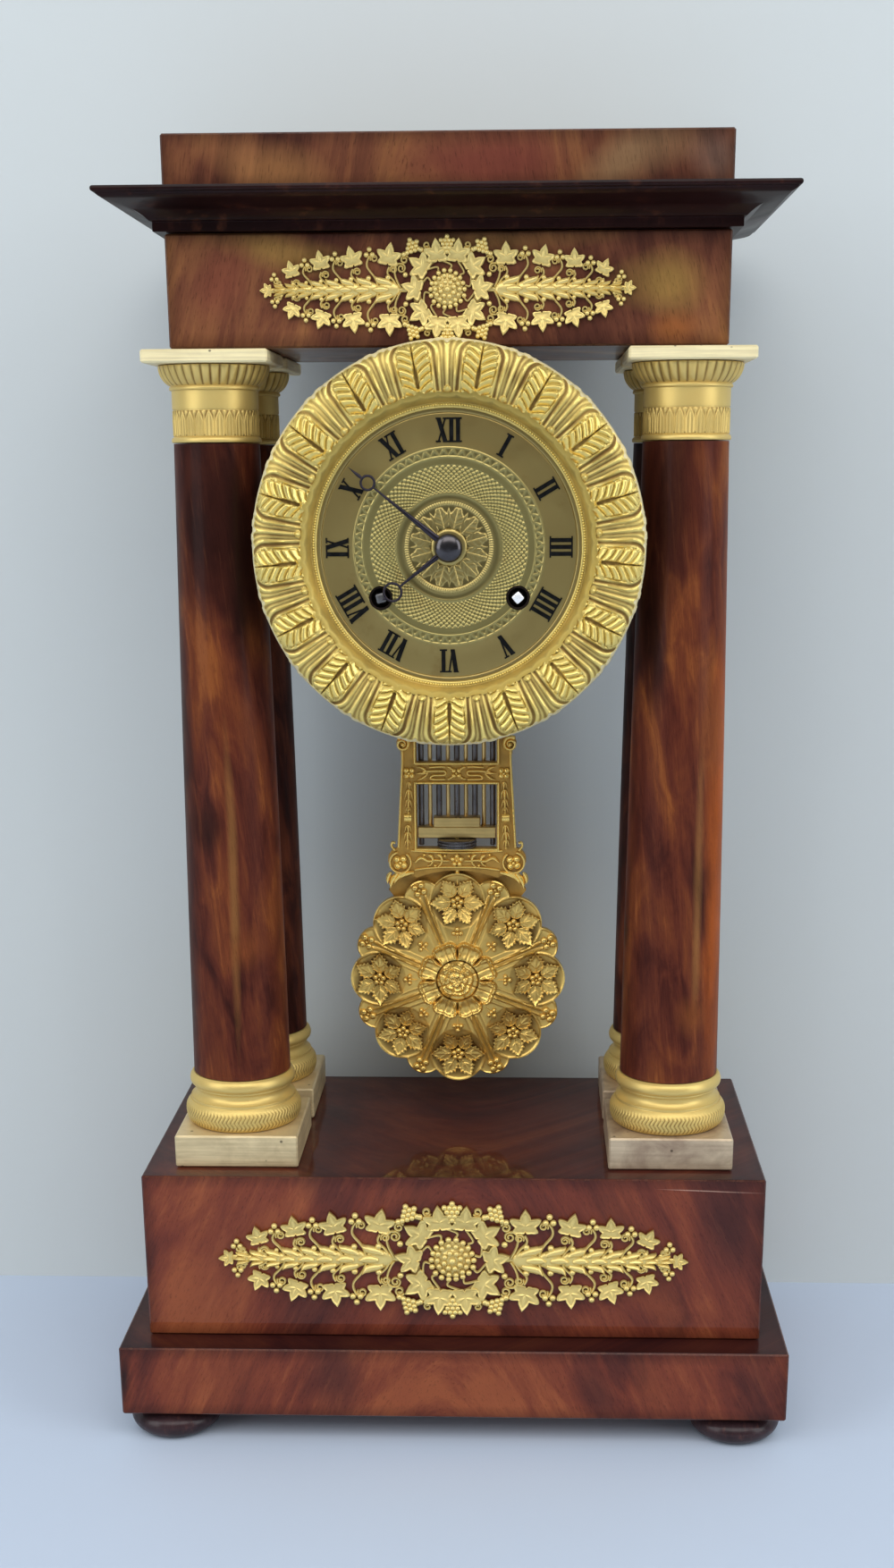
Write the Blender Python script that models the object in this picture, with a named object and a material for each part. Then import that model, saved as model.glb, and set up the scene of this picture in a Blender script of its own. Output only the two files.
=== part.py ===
"""Portico clock: four mahogany columns between a box base and a lintel. The lintel carries the movement in
its drum behind a gilt bezel and dial, and a gridiron pendulum swings in the portico below it.

Metres, +Z up, the front faces -Y, origin on the table under the middle of the base.
"""

import math

import bmesh
import bpy
from mathutils import Matrix, Vector

mm = 0.001

# Clearances
seat_gap = 0.3 * mm
run_gap = 0.3 * mm
overrun = 2.0 * mm

# Feet, plinth and base box
foot_height = 13.9 * mm
foot_radius = 19.5 * mm
foot_inset = 0.2 * mm
plinth_height = 31.2 * mm
plinth_step_side = 11.0 * mm
plinth_step_front = 13.0 * mm
plinth_rail = 45.0 * mm
base_width = 261.0 * mm
base_depth = 134.0 * mm
base_height = 72.8 * mm
base_wall = 9.0 * mm
base_board = 12.0 * mm
edge_round = 0.7 * mm

# Columns
block_height = 14.0 * mm
block_margin_side = 13.0 * mm
block_margin_front = 10.0 * mm
block_spacing = 10.0 * mm
torus_inset = 1.4 * mm
column_base_height = 22.0 * mm
shaft_height = 256.4 * mm
shaft_inset = 4.0 * mm
shaft_taper = 3.9 * mm
capital_height = 28.3 * mm
capital_reach = 4.9 * mm
abacus_reach = 2.4 * mm
abacus_height = 4.8 * mm
rod_radius = 3.0 * mm
nut_wall = 2.2 * mm
nut_height = 4.0 * mm

# Lintel, cornice and attic
lintel_inset_side = 10.5 * mm
lintel_inset_front = 5.0 * mm
lintel_height = 40.2 * mm
lintel_wall = 8.0 * mm
lintel_board = 9.0 * mm
cornice_height = 13.6 * mm
cornice_reach = 22.0 * mm
attic_height = 19.8 * mm

# Gilt mounts
mount_thickness = 1.6 * mm
base_mount_half_length = 98.8 * mm
base_mount_half_height = 26.0 * mm
lintel_mount_half_length = 69.8 * mm
lintel_mount_half_height = 16.8 * mm

# Bezel, dial, drum and saddle
dial_drop = 72.8 * mm
bezel_radius = 76.0 * mm
bezel_opening = 51.0 * mm
bezel_depth = 11.0 * mm
bezel_standoff = 0.6 * mm
dial_rebate = 2.4 * mm
dial_thickness = 1.3 * mm
drum_radius = 52.0 * mm
drum_wall = 1.0 * mm
drum_length = 44.5 * mm
saddle_width = 48.0 * mm
saddle_length = 28.0 * mm
saddle_lip = 6.0 * mm
saddle_setback = 8.0 * mm
stud_radius = 2.5 * mm
stud_spacing = 28.0 * mm

# Plates and trains
motion_space = 5.8 * mm
plate_thickness = 2.0 * mm
plate_distance = 32.0 * mm
back_plate_radius = 44.0 * mm
pillar_radius = 2.4 * mm
pillar_circle = 40.0 * mm
pillar_degrees = (15.0, 65.0, 115.0, 165.0, 270.0)
winding_offset = 26.6 * mm
winding_drop = 19.0 * mm
winding_arbor_radius = 2.4 * mm
winding_square = 3.6 * mm
winding_square_proud = 0.5 * mm
winding_hole_radius = 4.2 * mm
ratchet_radius = 6.0 * mm
ratchet_thickness = 1.0 * mm
ratchet_teeth = 16
pivot_radius = 1.0 * mm
train_arbor_radius = 1.3 * mm
barrel_teeth = 54
barrel_module = 0.64 * mm
barrel_wheel_thickness = 2.0 * mm
barrel_body_radius = 15.0 * mm
barrel_length = 20.0 * mm
barrel_shake = 3.0 * mm
intermediate_leaves = 6
intermediate_teeth = 48
train_module = 0.5 * mm
centre_leaves = 8
wheel_thickness = 1.0 * mm
pinion_length = 3.4 * mm
intermediate_height = 4.0 * mm

# Motion work and hands
cannon_leaves = 12
minute_wheel_teeth = 36
hour_wheel_teeth = 40
minute_pinion_leaves = 10
cannon_module = 0.5 * mm
cannon_radius = 2.0 * mm
pipe_wall = 1.1 * mm
minute_stud_radius = 1.2 * mm
hand_thickness = 0.8 * mm
hand_spacing = 0.9 * mm
hand_lift = 3.0 * mm
hand_hub_wall = 1.6 * mm
hand_tip_length = 1.35 * mm
hour_hand_length = 32.5 * mm
minute_hand_length = 48.3 * mm
hand_hub_radius = 5.2 * mm
hand_stem_half_width = 0.65 * mm
hour_ring_radius = 3.7 * mm
minute_ring_radius = 2.9 * mm
minute_hand_degrees = 308.8
hour_hand_degrees = 231.2
hub_height = 2.6 * mm

# Escapement and suspension
suspension_rise = 33.0 * mm
escape_wheel_teeth = 30
escape_wheel_radius = 9.5 * mm
escape_wheel_drop = 16.0 * mm
escape_pinion_leaves = 6
pallet_clearance = 1.15 * mm
pallet_degrees = 50.0
pallet_half_width = 1.0 * mm
crutch_half_width = 1.1 * mm
crutch_thickness = 1.2 * mm
crutch_length = 41.0 * mm
crutch_stand = 2.8 * mm
fork_prong = 1.4 * mm
cock_width = 18.0 * mm
cock_height = 6.0 * mm
cock_thickness = 2.0 * mm
cock_arm_half_width = 3.2 * mm
cock_arm_height = 4.0 * mm
cock_rise = 3.5 * mm
cock_block_half_width = 5.0 * mm

# Pendulum
pendulum_setback = 15.0 * mm
frame_thickness = 4.0 * mm
spring_half_width = 0.4 * mm
spring_length = 9.0 * mm
spring_head = 2.0 * mm
spring_slot_gap = 0.5 * mm
rod_half_width = 2.5 * mm
frame_bar_height = 4.0 * mm
scroll_offset = 22.8 * mm
scroll_radius = 3.2 * mm
scroll_degrees = (80.0, -60.0)
frame_shoulder_half_width = 23.7 * mm
frame_waist_half_width = 26.0 * mm
window_half_width = 17.4 * mm
upper_window_height = 9.8 * mm
cross_band_height = 9.8 * mm
lower_window_height = 28.0 * mm
bottom_band_height = 11.4 * mm
bottom_band_half_width = 30.5 * mm
bob_notch_degrees = (69.0, 90.0)
volute_radius = 5.2 * mm
volute_degrees = (80.0, -100.0)
bob_radius = 48.2 * mm
bob_clearance = 16.1 * mm
bob_thickness = 4.0 * mm
bob_relief = 5.6 * mm
bob_lobes = 8
bob_travel = 1.0 * mm
stem_radius = 1.1 * mm
nut_radius = 8.6 * mm
nut_thickness = 3.6 * mm
grid_rods = 9
grid_spacing = 3.93 * mm
grid_rod_radius = 1.1 * mm
block_lower_height = 5.1 * mm
block_upper_height = 4.3 * mm
block_upper_half_width = 10.0 * mm

# Bell and hammer
bell_radius = 30.0 * mm
bell_height = 18.0 * mm
bell_wall = 1.4 * mm
bell_setback = 22.0 * mm
bell_rise = 2.0 * mm
bell_stand_radius = 2.0 * mm
bell_stand_offset = 24.0 * mm
bell_stand_drop = 22.0 * mm
bell_stand_reach = 5.0 * mm
hammer_offset = 30.0 * mm
hammer_drop = 26.0 * mm
hammer_arbor_radius = 1.1 * mm
hammer_arm_half_width = 1.2 * mm
hammer_arm_thickness = 2.0 * mm
hammer_head_radius = 3.2 * mm
hammer_head_length = 6.0 * mm
hammer_gap = 0.9 * mm

# Levels, worked out from the table up
plinth_bottom = foot_height + seat_gap
base_bottom = plinth_bottom + plinth_height + seat_gap
base_top = base_bottom + base_height
block_bottom = base_top + seat_gap
column_base_bottom = block_bottom + block_height + seat_gap
shaft_bottom = column_base_bottom + column_base_height + seat_gap
capital_bottom = shaft_bottom + shaft_height + seat_gap
abacus_bottom = capital_bottom + capital_height + seat_gap
lintel_bottom = abacus_bottom + abacus_height + seat_gap
cornice_bottom = lintel_bottom + lintel_height + seat_gap
attic_bottom = cornice_bottom + cornice_height + seat_gap
dial_centre = lintel_bottom - dial_drop
suspension = dial_centre + suspension_rise

# Plan sizes, each part of a column following the one below it
plinth_width = base_width + 2 * plinth_step_side
plinth_depth = base_depth + 2 * plinth_step_front
block_side = (base_depth - 2 * block_margin_front - block_spacing) / 2
torus_radius = block_side / 2 - torus_inset
shaft_radius_bottom = torus_radius - shaft_inset
shaft_radius_top = shaft_radius_bottom - shaft_taper
capital_radius = shaft_radius_top + capital_reach
abacus_side = 2 * (capital_radius + abacus_reach)
column_x = base_width / 2 - block_margin_side - block_side / 2
column_y = base_depth / 2 - block_margin_front - block_side / 2
lintel_width = 2 * (column_x + abacus_side / 2 - lintel_inset_side)
lintel_depth = 2 * (column_y + abacus_side / 2 - lintel_inset_front)
corners = {"front_left": (-1, -1), "front_right": (1, -1), "rear_left": (-1, 1), "rear_right": (1, 1)}
rod_bore = rod_radius + run_gap

stud_places = (-stud_spacing / 2, stud_spacing / 2)

# Distances forward of the middle plane, for all that faces the front
bezel_back = lintel_depth / 2 + bezel_standoff
rebate_depth = dial_thickness + 2 * seat_gap
dial_back = bezel_back + rebate_depth - dial_thickness - seat_gap
dial_front = dial_back + dial_thickness
drum_front = dial_back - seat_gap
front_plate_front = dial_back - motion_space
front_plate_back = front_plate_front - plate_thickness
back_plate_front = front_plate_back - plate_distance
back_plate_back = back_plate_front - plate_thickness
pipe_inner = cannon_radius + run_gap
pipe_outer = pipe_inner + pipe_wall
hour_hand_back = dial_front + hand_lift
minute_hand_back = hour_hand_back + hand_thickness + hand_spacing
hub_back = minute_hand_back + hand_thickness + seat_gap

# Round shapes: how many sides each kind of piece has
fine_sides = 48
column_sides = 20
wheel_sides = 24
arbor_sides = 8
pipe_sides = 20

# Outlines as shares of the sizes they follow: radius then height, from the bottom up
foot_shares = ((0.0, 0.0), (0.66, 0.0), (0.92, 0.18), (1.0, 0.46), (0.92, 0.70), (0.70, 0.84),
               (0.70, 1.0), (0.0, 1.0))
column_base_shares = ((0.93, 0.0), (1.0, 0.20), (0.93, 0.44), (0.90, 0.53), (0.80, 0.62), (0.84, 0.72),
                      (0.905, 0.80), (0.905, 0.93), (0.86, 1.0))
capital_shares = ((0.80, 0.0), (0.815, 0.05), (0.78, 0.10), (0.78, 0.43), (0.77, 0.47), (0.77, 0.68),
                  (0.80, 0.71), (0.93, 0.84), (1.0, 0.96), (0.985, 1.0))
cornice_shares = ((0.0, 0.0), (0.16, 0.02), (0.165, 0.24), (0.20, 0.27), (0.27, 0.38), (0.40, 0.50),
                  (0.58, 0.60), (0.78, 0.69), (0.93, 0.79), (0.98, 0.86), (1.0, 0.93), (0.985, 1.0))
bezel_shares = ((0.88, 0.0), (1.0, 0.35), (0.99, 0.62), (0.86, 0.90), (0.62, 1.0), (0.40, 0.92), (0.22, 0.74),
                (0.08, 0.55), (0.0, 0.42))
bell_shares = ((1.0, 0.0), (0.97, 0.35), (0.84, 0.70), (0.55, 0.93), (0.25, 1.0))
hub_shares = ((1.0, 0.0), (1.0, 0.45), (0.86, 0.75), (0.50, 0.95), (0.0, 1.0))
bob_shares = ((0.0, 0.90), (0.12, 1.0), (0.24, 0.78), (0.40, 0.60), (0.62, 0.34), (0.84, 0.36), (1.0, 0.0))

# Teeth: share of the pitch, and of the module above or below the pitch line
wheel_tooth_shares = ((-0.24, -1.0), (0.0, 0.75), (0.24, -1.0))
pinion_leaf_shares = ((-0.18, -1.25), (-0.08, 0.55), (0.08, 0.55), (0.18, -1.25))
escape_tooth_shares = ((0.0, 1.0), (0.16, 0.97), (0.42, 0.84))
ratchet_tooth_shares = ((0.0, 1.0), (0.8, 0.84))

# The mounts' sprays: half height at the wreath, what the taper takes of it, and how far leaves stand out
spray_root_share = 0.80
spray_taper_share = 0.62
spray_leaf_share = 0.16
wreath_join_share = 0.86
crown_degrees = (132.0, 48.0)


# Materials

def material(name, colour, roughness, metallic):
    made = bpy.data.materials.new(name)
    made.use_nodes = True
    shader = made.node_tree.nodes["Principled BSDF"]
    shader.inputs["Base Color"].default_value = (*colour, 1.0)
    shader.inputs["Roughness"].default_value = roughness
    shader.inputs["Metallic"].default_value = metallic
    return made


# Helpers: meshes that are measured in their own frame, where a front-facing piece has +Z towards the viewer

front_facing = math.radians(90)


def new_object(name, bm, finish, place=(0, 0, 0), faces_front=False):
    """An object from a bmesh, at its place, turned to face the front if asked."""
    bmesh.ops.recalc_face_normals(bm, faces=bm.faces)
    mesh = bpy.data.meshes.new(name)
    bm.to_mesh(mesh)
    bm.free()
    if finish is not None:
        mesh.materials.append(finish)
    made = bpy.data.objects.new(name, mesh)
    bpy.context.collection.objects.link(made)
    made.location = place
    if faces_front:
        made.rotation_euler = (front_facing, 0, 0)
    return made


def smooth(made, degrees=32):
    made.data.shade_smooth()
    made.data.set_sharp_from_angle(angle=math.radians(degrees))


def spun(profile, sides, bore=0.0):
    """A bmesh turned about Z from (radius, height) points; bore opens it along the axis."""
    points = list(profile)
    if bore:
        points = points + [(bore, points[-1][1]), (bore, points[0][1])]
    else:
        if points[0][0]:
            points = [(0.0, points[0][1])] + points
        if points[-1][0]:
            points = points + [(0.0, points[-1][1])]
    bm = bmesh.new()
    rings = []
    for radius, height in points:
        if radius:
            angles = [2 * math.pi * k / sides for k in range(sides)]
            rings.append([bm.verts.new((radius * math.cos(a), radius * math.sin(a), height))
                          for a in angles])
        else:
            rings.append([bm.verts.new((0, 0, height))] * sides)
    pairs = list(zip(rings, rings[1:]))
    if bore:
        pairs.append((rings[-1], rings[0]))
    for low, high in pairs:
        for k in range(sides):
            n = (k + 1) % sides
            corners_of_face = []
            for vert in (low[k], low[n], high[n], high[k]):
                if vert not in corners_of_face:
                    corners_of_face.append(vert)
            if len(corners_of_face) > 2:
                bm.faces.new(corners_of_face)
    return bm


def scaled(shares, radius, height, base=0.0, inner=0.0):
    """Outline shares as real points: radii from inner to radius, heights up from base."""
    return [(inner + r * (radius - inner), base + h * height) for r, h in shares]


def cylinder(radius, low, high, sides=arbor_sides):
    return spun([(radius, low), (radius, high)], sides)


def slab(low, high):
    """A box between two corners."""
    size = Vector(high) - Vector(low)
    middle = (Vector(high) + Vector(low)) / 2
    bm = bmesh.new()
    bmesh.ops.create_cube(bm, size=1.0, matrix=Matrix.Translation(middle) @ Matrix.Diagonal((*size, 1.0)))
    return bm


def plate(outline, holes, low, high):
    """A flat plate between two heights, with holes."""
    bm = bmesh.new()
    edges = []
    for loop in [outline, *holes]:
        verts = [bm.verts.new((x, y, low)) for x, y in loop]
        edges += [bm.edges.new((verts[k - 1], verts[k])) for k in range(len(verts))]
    bmesh.ops.triangle_fill(bm, use_beauty=True, use_dissolve=False, edges=edges, normal=(0, 0, 1))
    raised = bmesh.ops.extrude_face_region(bm, geom=bm.faces[:], use_keep_orig=True)
    moved = [item for item in raised["geom"] if isinstance(item, bmesh.types.BMVert)]
    bmesh.ops.translate(bm, verts=moved, vec=(0, 0, high - low))
    return bm


def circle(radius, sides, centre=(0.0, 0.0), start=0.0):
    angles = [start + 2 * math.pi * k / sides for k in range(sides)]
    return [(centre[0] + radius * math.cos(a), centre[1] + radius * math.sin(a)) for a in angles]


def arc(radius, centre, start, end, steps=6):
    angles = [math.radians(start + (end - start) * k / steps) for k in range(steps + 1)]
    return [(centre[0] + radius * math.cos(a), centre[1] + radius * math.sin(a)) for a in angles]


def mirrored(right_side):
    """A closed outline from its right side, listed from the top down."""
    return right_side + [(-x, y) for x, y in reversed(right_side) if x > 0]


def toothed(teeth, module, towards, leads, leaf=False):
    """A wheel's or pinion's outline, with a tooth towards an angle if it leads, or a gap there."""
    pitch_radius = teeth * module / 2
    pitch = 2 * math.pi / teeth
    start = towards + (0 if leads else pitch / 2)
    points = []
    for k in range(teeth):
        for along, out in pinion_leaf_shares if leaf else wheel_tooth_shares:
            angle = start + (k + along) * pitch
            radius = pitch_radius + out * module
            points.append((radius * math.cos(angle), radius * math.sin(angle)))
    return points


def tube(points, radius, sides=arbor_sides):
    """A round bar along points, mitred at its corners."""
    path = [Vector(p) for p in points]
    bm = bmesh.new()
    first = (path[1] - path[0]).normalized()
    across = first.orthogonal().normalized()
    over = first.cross(across)
    ring = [path[0] + across * x + over * y for x, y in circle(radius, sides)]
    rings = [[bm.verts.new(p) for p in ring]]
    for k in range(1, len(path)):
        along = (path[k] - path[k - 1]).normalized()
        after = (path[k + 1] - path[k]).normalized() if k + 1 < len(path) else along
        normal = (along + after).normalized()
        ring = [p + along * ((path[k] - p).dot(normal) / along.dot(normal)) for p in ring]
        rings.append([bm.verts.new(p) for p in ring])
    for low, high in zip(rings, rings[1:]):
        for k in range(sides):
            n = (k + 1) % sides
            bm.faces.new((low[k], low[n], high[n], high[k]))
    bm.faces.new(rings[0])
    bm.faces.new(rings[-1])
    return bm


def tool(name, bm, target):
    """A cutter or a joined shape, in its target's frame, left out of the part."""
    made = new_object(name, bm, None)
    made.parent = target
    made.hide_render = True
    made.display_type = "WIRE"
    return made


def combine(target, operation, *shapes):
    """Joins shapes to a target, or cuts them from it, with one Boolean each."""
    for shape in shapes:
        name = f"{target.name}_{operation.lower()}_{len(target.modifiers)}"
        step = target.modifiers.new(name, "BOOLEAN")
        step.operation = operation
        step.solver = "EXACT"
        step.object = tool(name, shape, target)


def eased(made, width):
    """Breaks the edges of a square piece."""
    step = made.modifiers.new("eased_edges", "BEVEL")
    step.width = width
    step.segments = 1
    step.limit_method = "ANGLE"
    step.angle_limit = math.radians(50)


def shifted(bm, offset):
    bmesh.ops.translate(bm, verts=bm.verts[:], vec=offset)
    return bm


def column_holes():
    """Cutters along the four column axes, through all of the case."""
    height = attic_bottom + attic_height
    return [shifted(cylinder(rod_bore, -overrun, height), (sx * column_x, sy * column_y, 0))
            for sx, sy in corners.values()]


# Case

def make_feet(finish):
    reach_x = plinth_width / 2 - foot_inset - foot_radius
    reach_y = plinth_depth / 2 - foot_inset - foot_radius
    for corner, (sx, sy) in corners.items():
        turned = spun(scaled(foot_shares, foot_radius, foot_height), column_sides)
        foot = new_object(f"foot_{corner}", turned, finish, (sx * reach_x, sy * reach_y, 0))
        smooth(foot)


def make_plinth(finish):
    half_x = plinth_width / 2
    half_y = plinth_depth / 2
    plinth = new_object("base_plinth", slab((-half_x, -half_y, 0), (half_x, half_y, plinth_height)), finish,
                        (0, 0, plinth_bottom))
    eased(plinth, edge_round)
    inner_x = half_x - plinth_rail
    inner_y = half_y - plinth_rail
    opening = slab((-inner_x, -inner_y, -overrun), (inner_x, inner_y, plinth_height + overrun))
    combine(plinth, "DIFFERENCE", opening)


def make_base_box(finish):
    half_x = base_width / 2
    half_y = base_depth / 2
    box = new_object("base_box", slab((-half_x, -half_y, 0), (half_x, half_y, base_height)), finish,
                     (0, 0, base_bottom))
    eased(box, edge_round)
    inner = slab((base_wall - half_x, base_wall - half_y, -overrun),
                 (half_x - base_wall, half_y - base_wall, base_height - base_board))
    combine(box, "DIFFERENCE", inner, *column_holes())


def make_column(corner, sx, sy, finishes):
    x = sx * column_x
    y = sy * column_y
    half = block_side / 2
    block = new_object(f"column_block_{corner}", slab((-half, -half, 0), (half, half, block_height)),
                       finishes["brass"], (x, y, block_bottom))
    eased(block, edge_round)
    combine(block, "DIFFERENCE", cylinder(rod_bore, -overrun, block_height + overrun))
    base_profile = scaled(column_base_shares, torus_radius, column_base_height)
    shaft_profile = [(shaft_radius_bottom, 0.0), (shaft_radius_top, shaft_height)]
    capital_profile = scaled(capital_shares, capital_radius, capital_height)
    turned_parts = (("column_base", base_profile, "gilt", column_base_bottom),
                    ("column_shaft", shaft_profile, "mahogany", shaft_bottom),
                    ("capital", capital_profile, "gilt", capital_bottom))
    for part, profile, finish, height in turned_parts:
        made = new_object(f"{part}_{corner}", spun(profile, column_sides, rod_bore), finishes[finish],
                          (x, y, height))
        smooth(made)
    half = abacus_side / 2
    abacus = new_object(f"abacus_{corner}", slab((-half, -half, 0), (half, half, abacus_height)),
                        finishes["brass"], (x, y, abacus_bottom))
    eased(abacus, edge_round)
    combine(abacus, "DIFFERENCE", cylinder(rod_bore, -overrun, abacus_height + overrun))


def make_tie_rod(corner, sx, sy, finish):
    """A rod with a nut under the base's top board and another above the lintel's bottom board."""
    nut = rod_radius + nut_wall
    low = base_top - base_board - seat_gap
    high = lintel_bottom + lintel_board + seat_gap
    end = overrun
    profile = [(rod_radius, low - nut_height - end), (rod_radius, low - nut_height),
               (nut, low - nut_height),
               (nut, low), (rod_radius, low), (rod_radius, high), (nut, high), (nut, high + nut_height),
               (rod_radius, high + nut_height), (rod_radius, high + nut_height + end)]
    new_object(f"tie_rod_{corner}", spun(profile, arbor_sides), finish, (sx * column_x, sy * column_y, 0))


def make_lintel(finish):
    half_x = lintel_width / 2
    half_y = lintel_depth / 2
    box = new_object("lintel_box", slab((-half_x, -half_y, 0), (half_x, half_y, lintel_height)), finish,
                     (0, 0, lintel_bottom))
    eased(box, edge_round)
    inner = slab((lintel_wall - half_x, lintel_wall - half_y, lintel_board),
                 (half_x - lintel_wall, half_y - lintel_wall, lintel_height + overrun))
    through = (-overrun, lintel_board + overrun)
    studs = [shifted(cylinder(stud_radius + run_gap, *through), (x, -saddle_middle(), 0))
             for x in stud_places]
    rods = [shifted(cylinder(rod_bore, *through), (sx * column_x, sy * column_y, 0))
            for sx, sy in corners.values()]
    combine(box, "DIFFERENCE", inner, *rods, *studs)


def make_cornice(finish):
    """The cyma moulding that runs round a board, mitred at its corners."""
    bm = bmesh.new()
    rings = []
    for out_share, up_share in cornice_shares:
        half_x = lintel_width / 2 + out_share * cornice_reach
        half_y = lintel_depth / 2 + out_share * cornice_reach
        height = up_share * cornice_height
        square = ((-half_x, -half_y), (half_x, -half_y), (half_x, half_y), (-half_x, half_y))
        rings.append([bm.verts.new((x, y, height)) for x, y in square])
    for low, high in zip(rings, rings[1:]):
        for k in range(4):
            n = (k + 1) % 4
            bm.faces.new((low[k], low[n], high[n], high[k]))
    bm.faces.new(rings[0])
    bm.faces.new(rings[-1])
    new_object("cornice", bm, finish, (0, 0, cornice_bottom))


def make_attic(finish):
    half_x = lintel_width / 2
    half_y = lintel_depth / 2
    block = new_object("attic_block", slab((-half_x, -half_y, 0), (half_x, half_y, attic_height)), finish,
                       (0, 0, attic_bottom))
    eased(block, edge_round)


def make_mount(name, finish, half_length, half_height, front, middle):
    """Openwork: a round wreath in the middle, and a tapering spray of leaves to each side."""
    wreath = half_height
    join = wreath_join_share * wreath
    leaves = 5
    steps = 3
    upper = []
    for k in range(leaves * steps + 1):
        along = k / (leaves * steps)
        x = join + along * (half_length - join)
        envelope = half_height * (spray_root_share - spray_taper_share * along ** 1.3)
        wave = abs(math.sin(math.pi * leaves * along))
        scallop = spray_leaf_share * half_height * wave * (1 - 0.5 * along)
        upper.append((x, envelope + scallop))
    upper[-1] = (half_length, 0.0)
    crown = arc(wreath, (0.0, 0.0), *crown_degrees)
    right = [point for point in upper if point[0] > crown[-1][0]]
    top = [(-x, y) for x, y in reversed(right[:-1])] + crown + right
    outline = top + [(x, -y) for x, y in reversed(top[:-1])] + [(-half_length, 0.0)]
    holes = []
    for side in (-1, 1):
        for k in range(leaves - 1):
            along = (k + 0.62) / leaves
            x = join + along * (half_length - join)
            height = half_height * (spray_root_share - spray_taper_share * along ** 1.3)
            for up in (-1, 1):
                ring = circle(1.0, 6)
                holes.append([(side * (x + 0.20 * height * c), up * (0.56 * height + 0.26 * height * s))
                              for c, s in ring])
    for k in range(6):
        angle = math.radians(60 * k)
        middle_point = (0.60 * wreath * math.cos(angle), 0.60 * wreath * math.sin(angle))
        holes.append(circle(0.13 * wreath, 6, middle_point))
    new_object(name, plate(outline, holes, 0.0, mount_thickness), finish, (0, -front - seat_gap, middle),
               faces_front=True)


# Movement

def make_bezel(finish):
    ring = scaled(bezel_shares, bezel_radius, bezel_depth, 0.0, bezel_opening)
    rebate = bezel_opening + dial_rebate
    ring += [(bezel_opening, rebate_depth), (rebate, rebate_depth), (rebate, 0.0)]
    bm = bmesh.new()
    rings = [[bm.verts.new((r * math.cos(a), r * math.sin(a), h))
              for a in (2 * math.pi * k / fine_sides for k in range(fine_sides))] for r, h in ring]
    for k in range(len(rings)):
        low, high = rings[k - 1], rings[k]
        for side in range(fine_sides):
            n = (side + 1) % fine_sides
            bm.faces.new((low[side], low[n], high[n], high[side]))
    bezel = new_object("bezel", bm, finish, (0, -bezel_back, dial_centre), True)
    smooth(bezel)


def winding_places():
    return {"strike": (-winding_offset, -winding_drop), "going": (winding_offset, -winding_drop)}


def make_dial(finish):
    holes = [circle(pipe_outer + run_gap, pipe_sides)]
    holes += [circle(winding_hole_radius, pipe_sides, place) for place in winding_places().values()]
    outline = circle(bezel_opening + dial_rebate - seat_gap, fine_sides)
    new_object("dial", plate(outline, holes, dial_back, dial_front), finish, (0, 0, dial_centre), True)


def make_drum(finish):
    back = drum_front - drum_length
    drum = new_object("movement_drum", spun([(drum_radius, back), (drum_radius, drum_front)], fine_sides,
                                            drum_radius - drum_wall), finish, (0, 0, dial_centre), True)
    smooth(drum)


def saddle_middle():
    return drum_front - saddle_setback - saddle_length / 2


def make_saddle(finish):
    """A brass block that fits over the drum and hangs from two studs through the lintel's bottom board."""
    top = lintel_bottom - seat_gap - dial_centre
    low = math.sqrt(drum_radius ** 2 - (saddle_width / 2) ** 2) - saddle_lip
    middle = saddle_middle()
    block = slab((-saddle_width / 2, -middle - saddle_length / 2, low),
                 (saddle_width / 2, -middle + saddle_length / 2, top))
    saddle = new_object("saddle_bracket", block, finish, (0, 0, dial_centre))
    seat = cylinder(drum_radius + seat_gap, -saddle_length, saddle_length, fine_sides)
    bmesh.ops.rotate(seat, verts=seat.verts[:], matrix=Matrix.Rotation(front_facing, 3, "X"))
    combine(saddle, "DIFFERENCE", shifted(seat, (0, -middle, 0)))
    board_top = top + 2 * seat_gap + lintel_board
    nut = stud_radius + nut_wall
    profile = [(stud_radius, top - overrun), (stud_radius, board_top), (nut, board_top),
               (nut, board_top + nut_height), (stud_radius, board_top + nut_height),
               (stud_radius, board_top + nut_height + overrun)]
    studs = [shifted(spun(profile, arbor_sides), (x, -middle, 0)) for x in stud_places]
    combine(saddle, "UNION", *studs)


def polar(distance, degrees):
    return distance * math.cos(math.radians(degrees)), distance * math.sin(math.radians(degrees))


def intermediate_place():
    """Where the intermediate arbor stands: the right distance from the going barrel and the centre."""
    place = winding_places()["going"]
    far = math.hypot(*place)
    to_barrel = (barrel_teeth + intermediate_leaves) * barrel_module / 2
    to_centre = (intermediate_teeth + centre_leaves) * train_module / 2
    bend = math.acos((to_centre ** 2 + far ** 2 - to_barrel ** 2) / (2 * to_centre * far))
    angle = math.atan2(place[1], place[0]) + bend
    return to_centre * math.cos(angle), to_centre * math.sin(angle)


def minute_wheel_place():
    return 0.0, -(cannon_leaves + minute_wheel_teeth) * cannon_module / 2


def escape_place():
    return 0.0, suspension_rise - escape_wheel_drop


def hammer_place():
    return -hammer_offset, -hammer_drop


def make_front_plate(finish):
    outline = circle(drum_radius - drum_wall - seat_gap, fine_sides)
    holes = [circle(train_arbor_radius + run_gap, arbor_sides)]
    winding_bore = winding_arbor_radius + run_gap
    holes += [circle(winding_bore, arbor_sides, place) for place in winding_places().values()]
    for place in (intermediate_place(), escape_place(), (0.0, suspension_rise)):
        holes.append(circle(pivot_radius + run_gap, arbor_sides, place))
    made = new_object("front_plate", plate(outline, holes, front_plate_back, front_plate_front), finish,
                      (0, 0, dial_centre), True)
    stud = cylinder(minute_stud_radius, front_plate_back + plate_thickness / 2, dial_back - seat_gap)
    combine(made, "UNION", shifted(stud, (*minute_wheel_place(), 0)))


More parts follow.
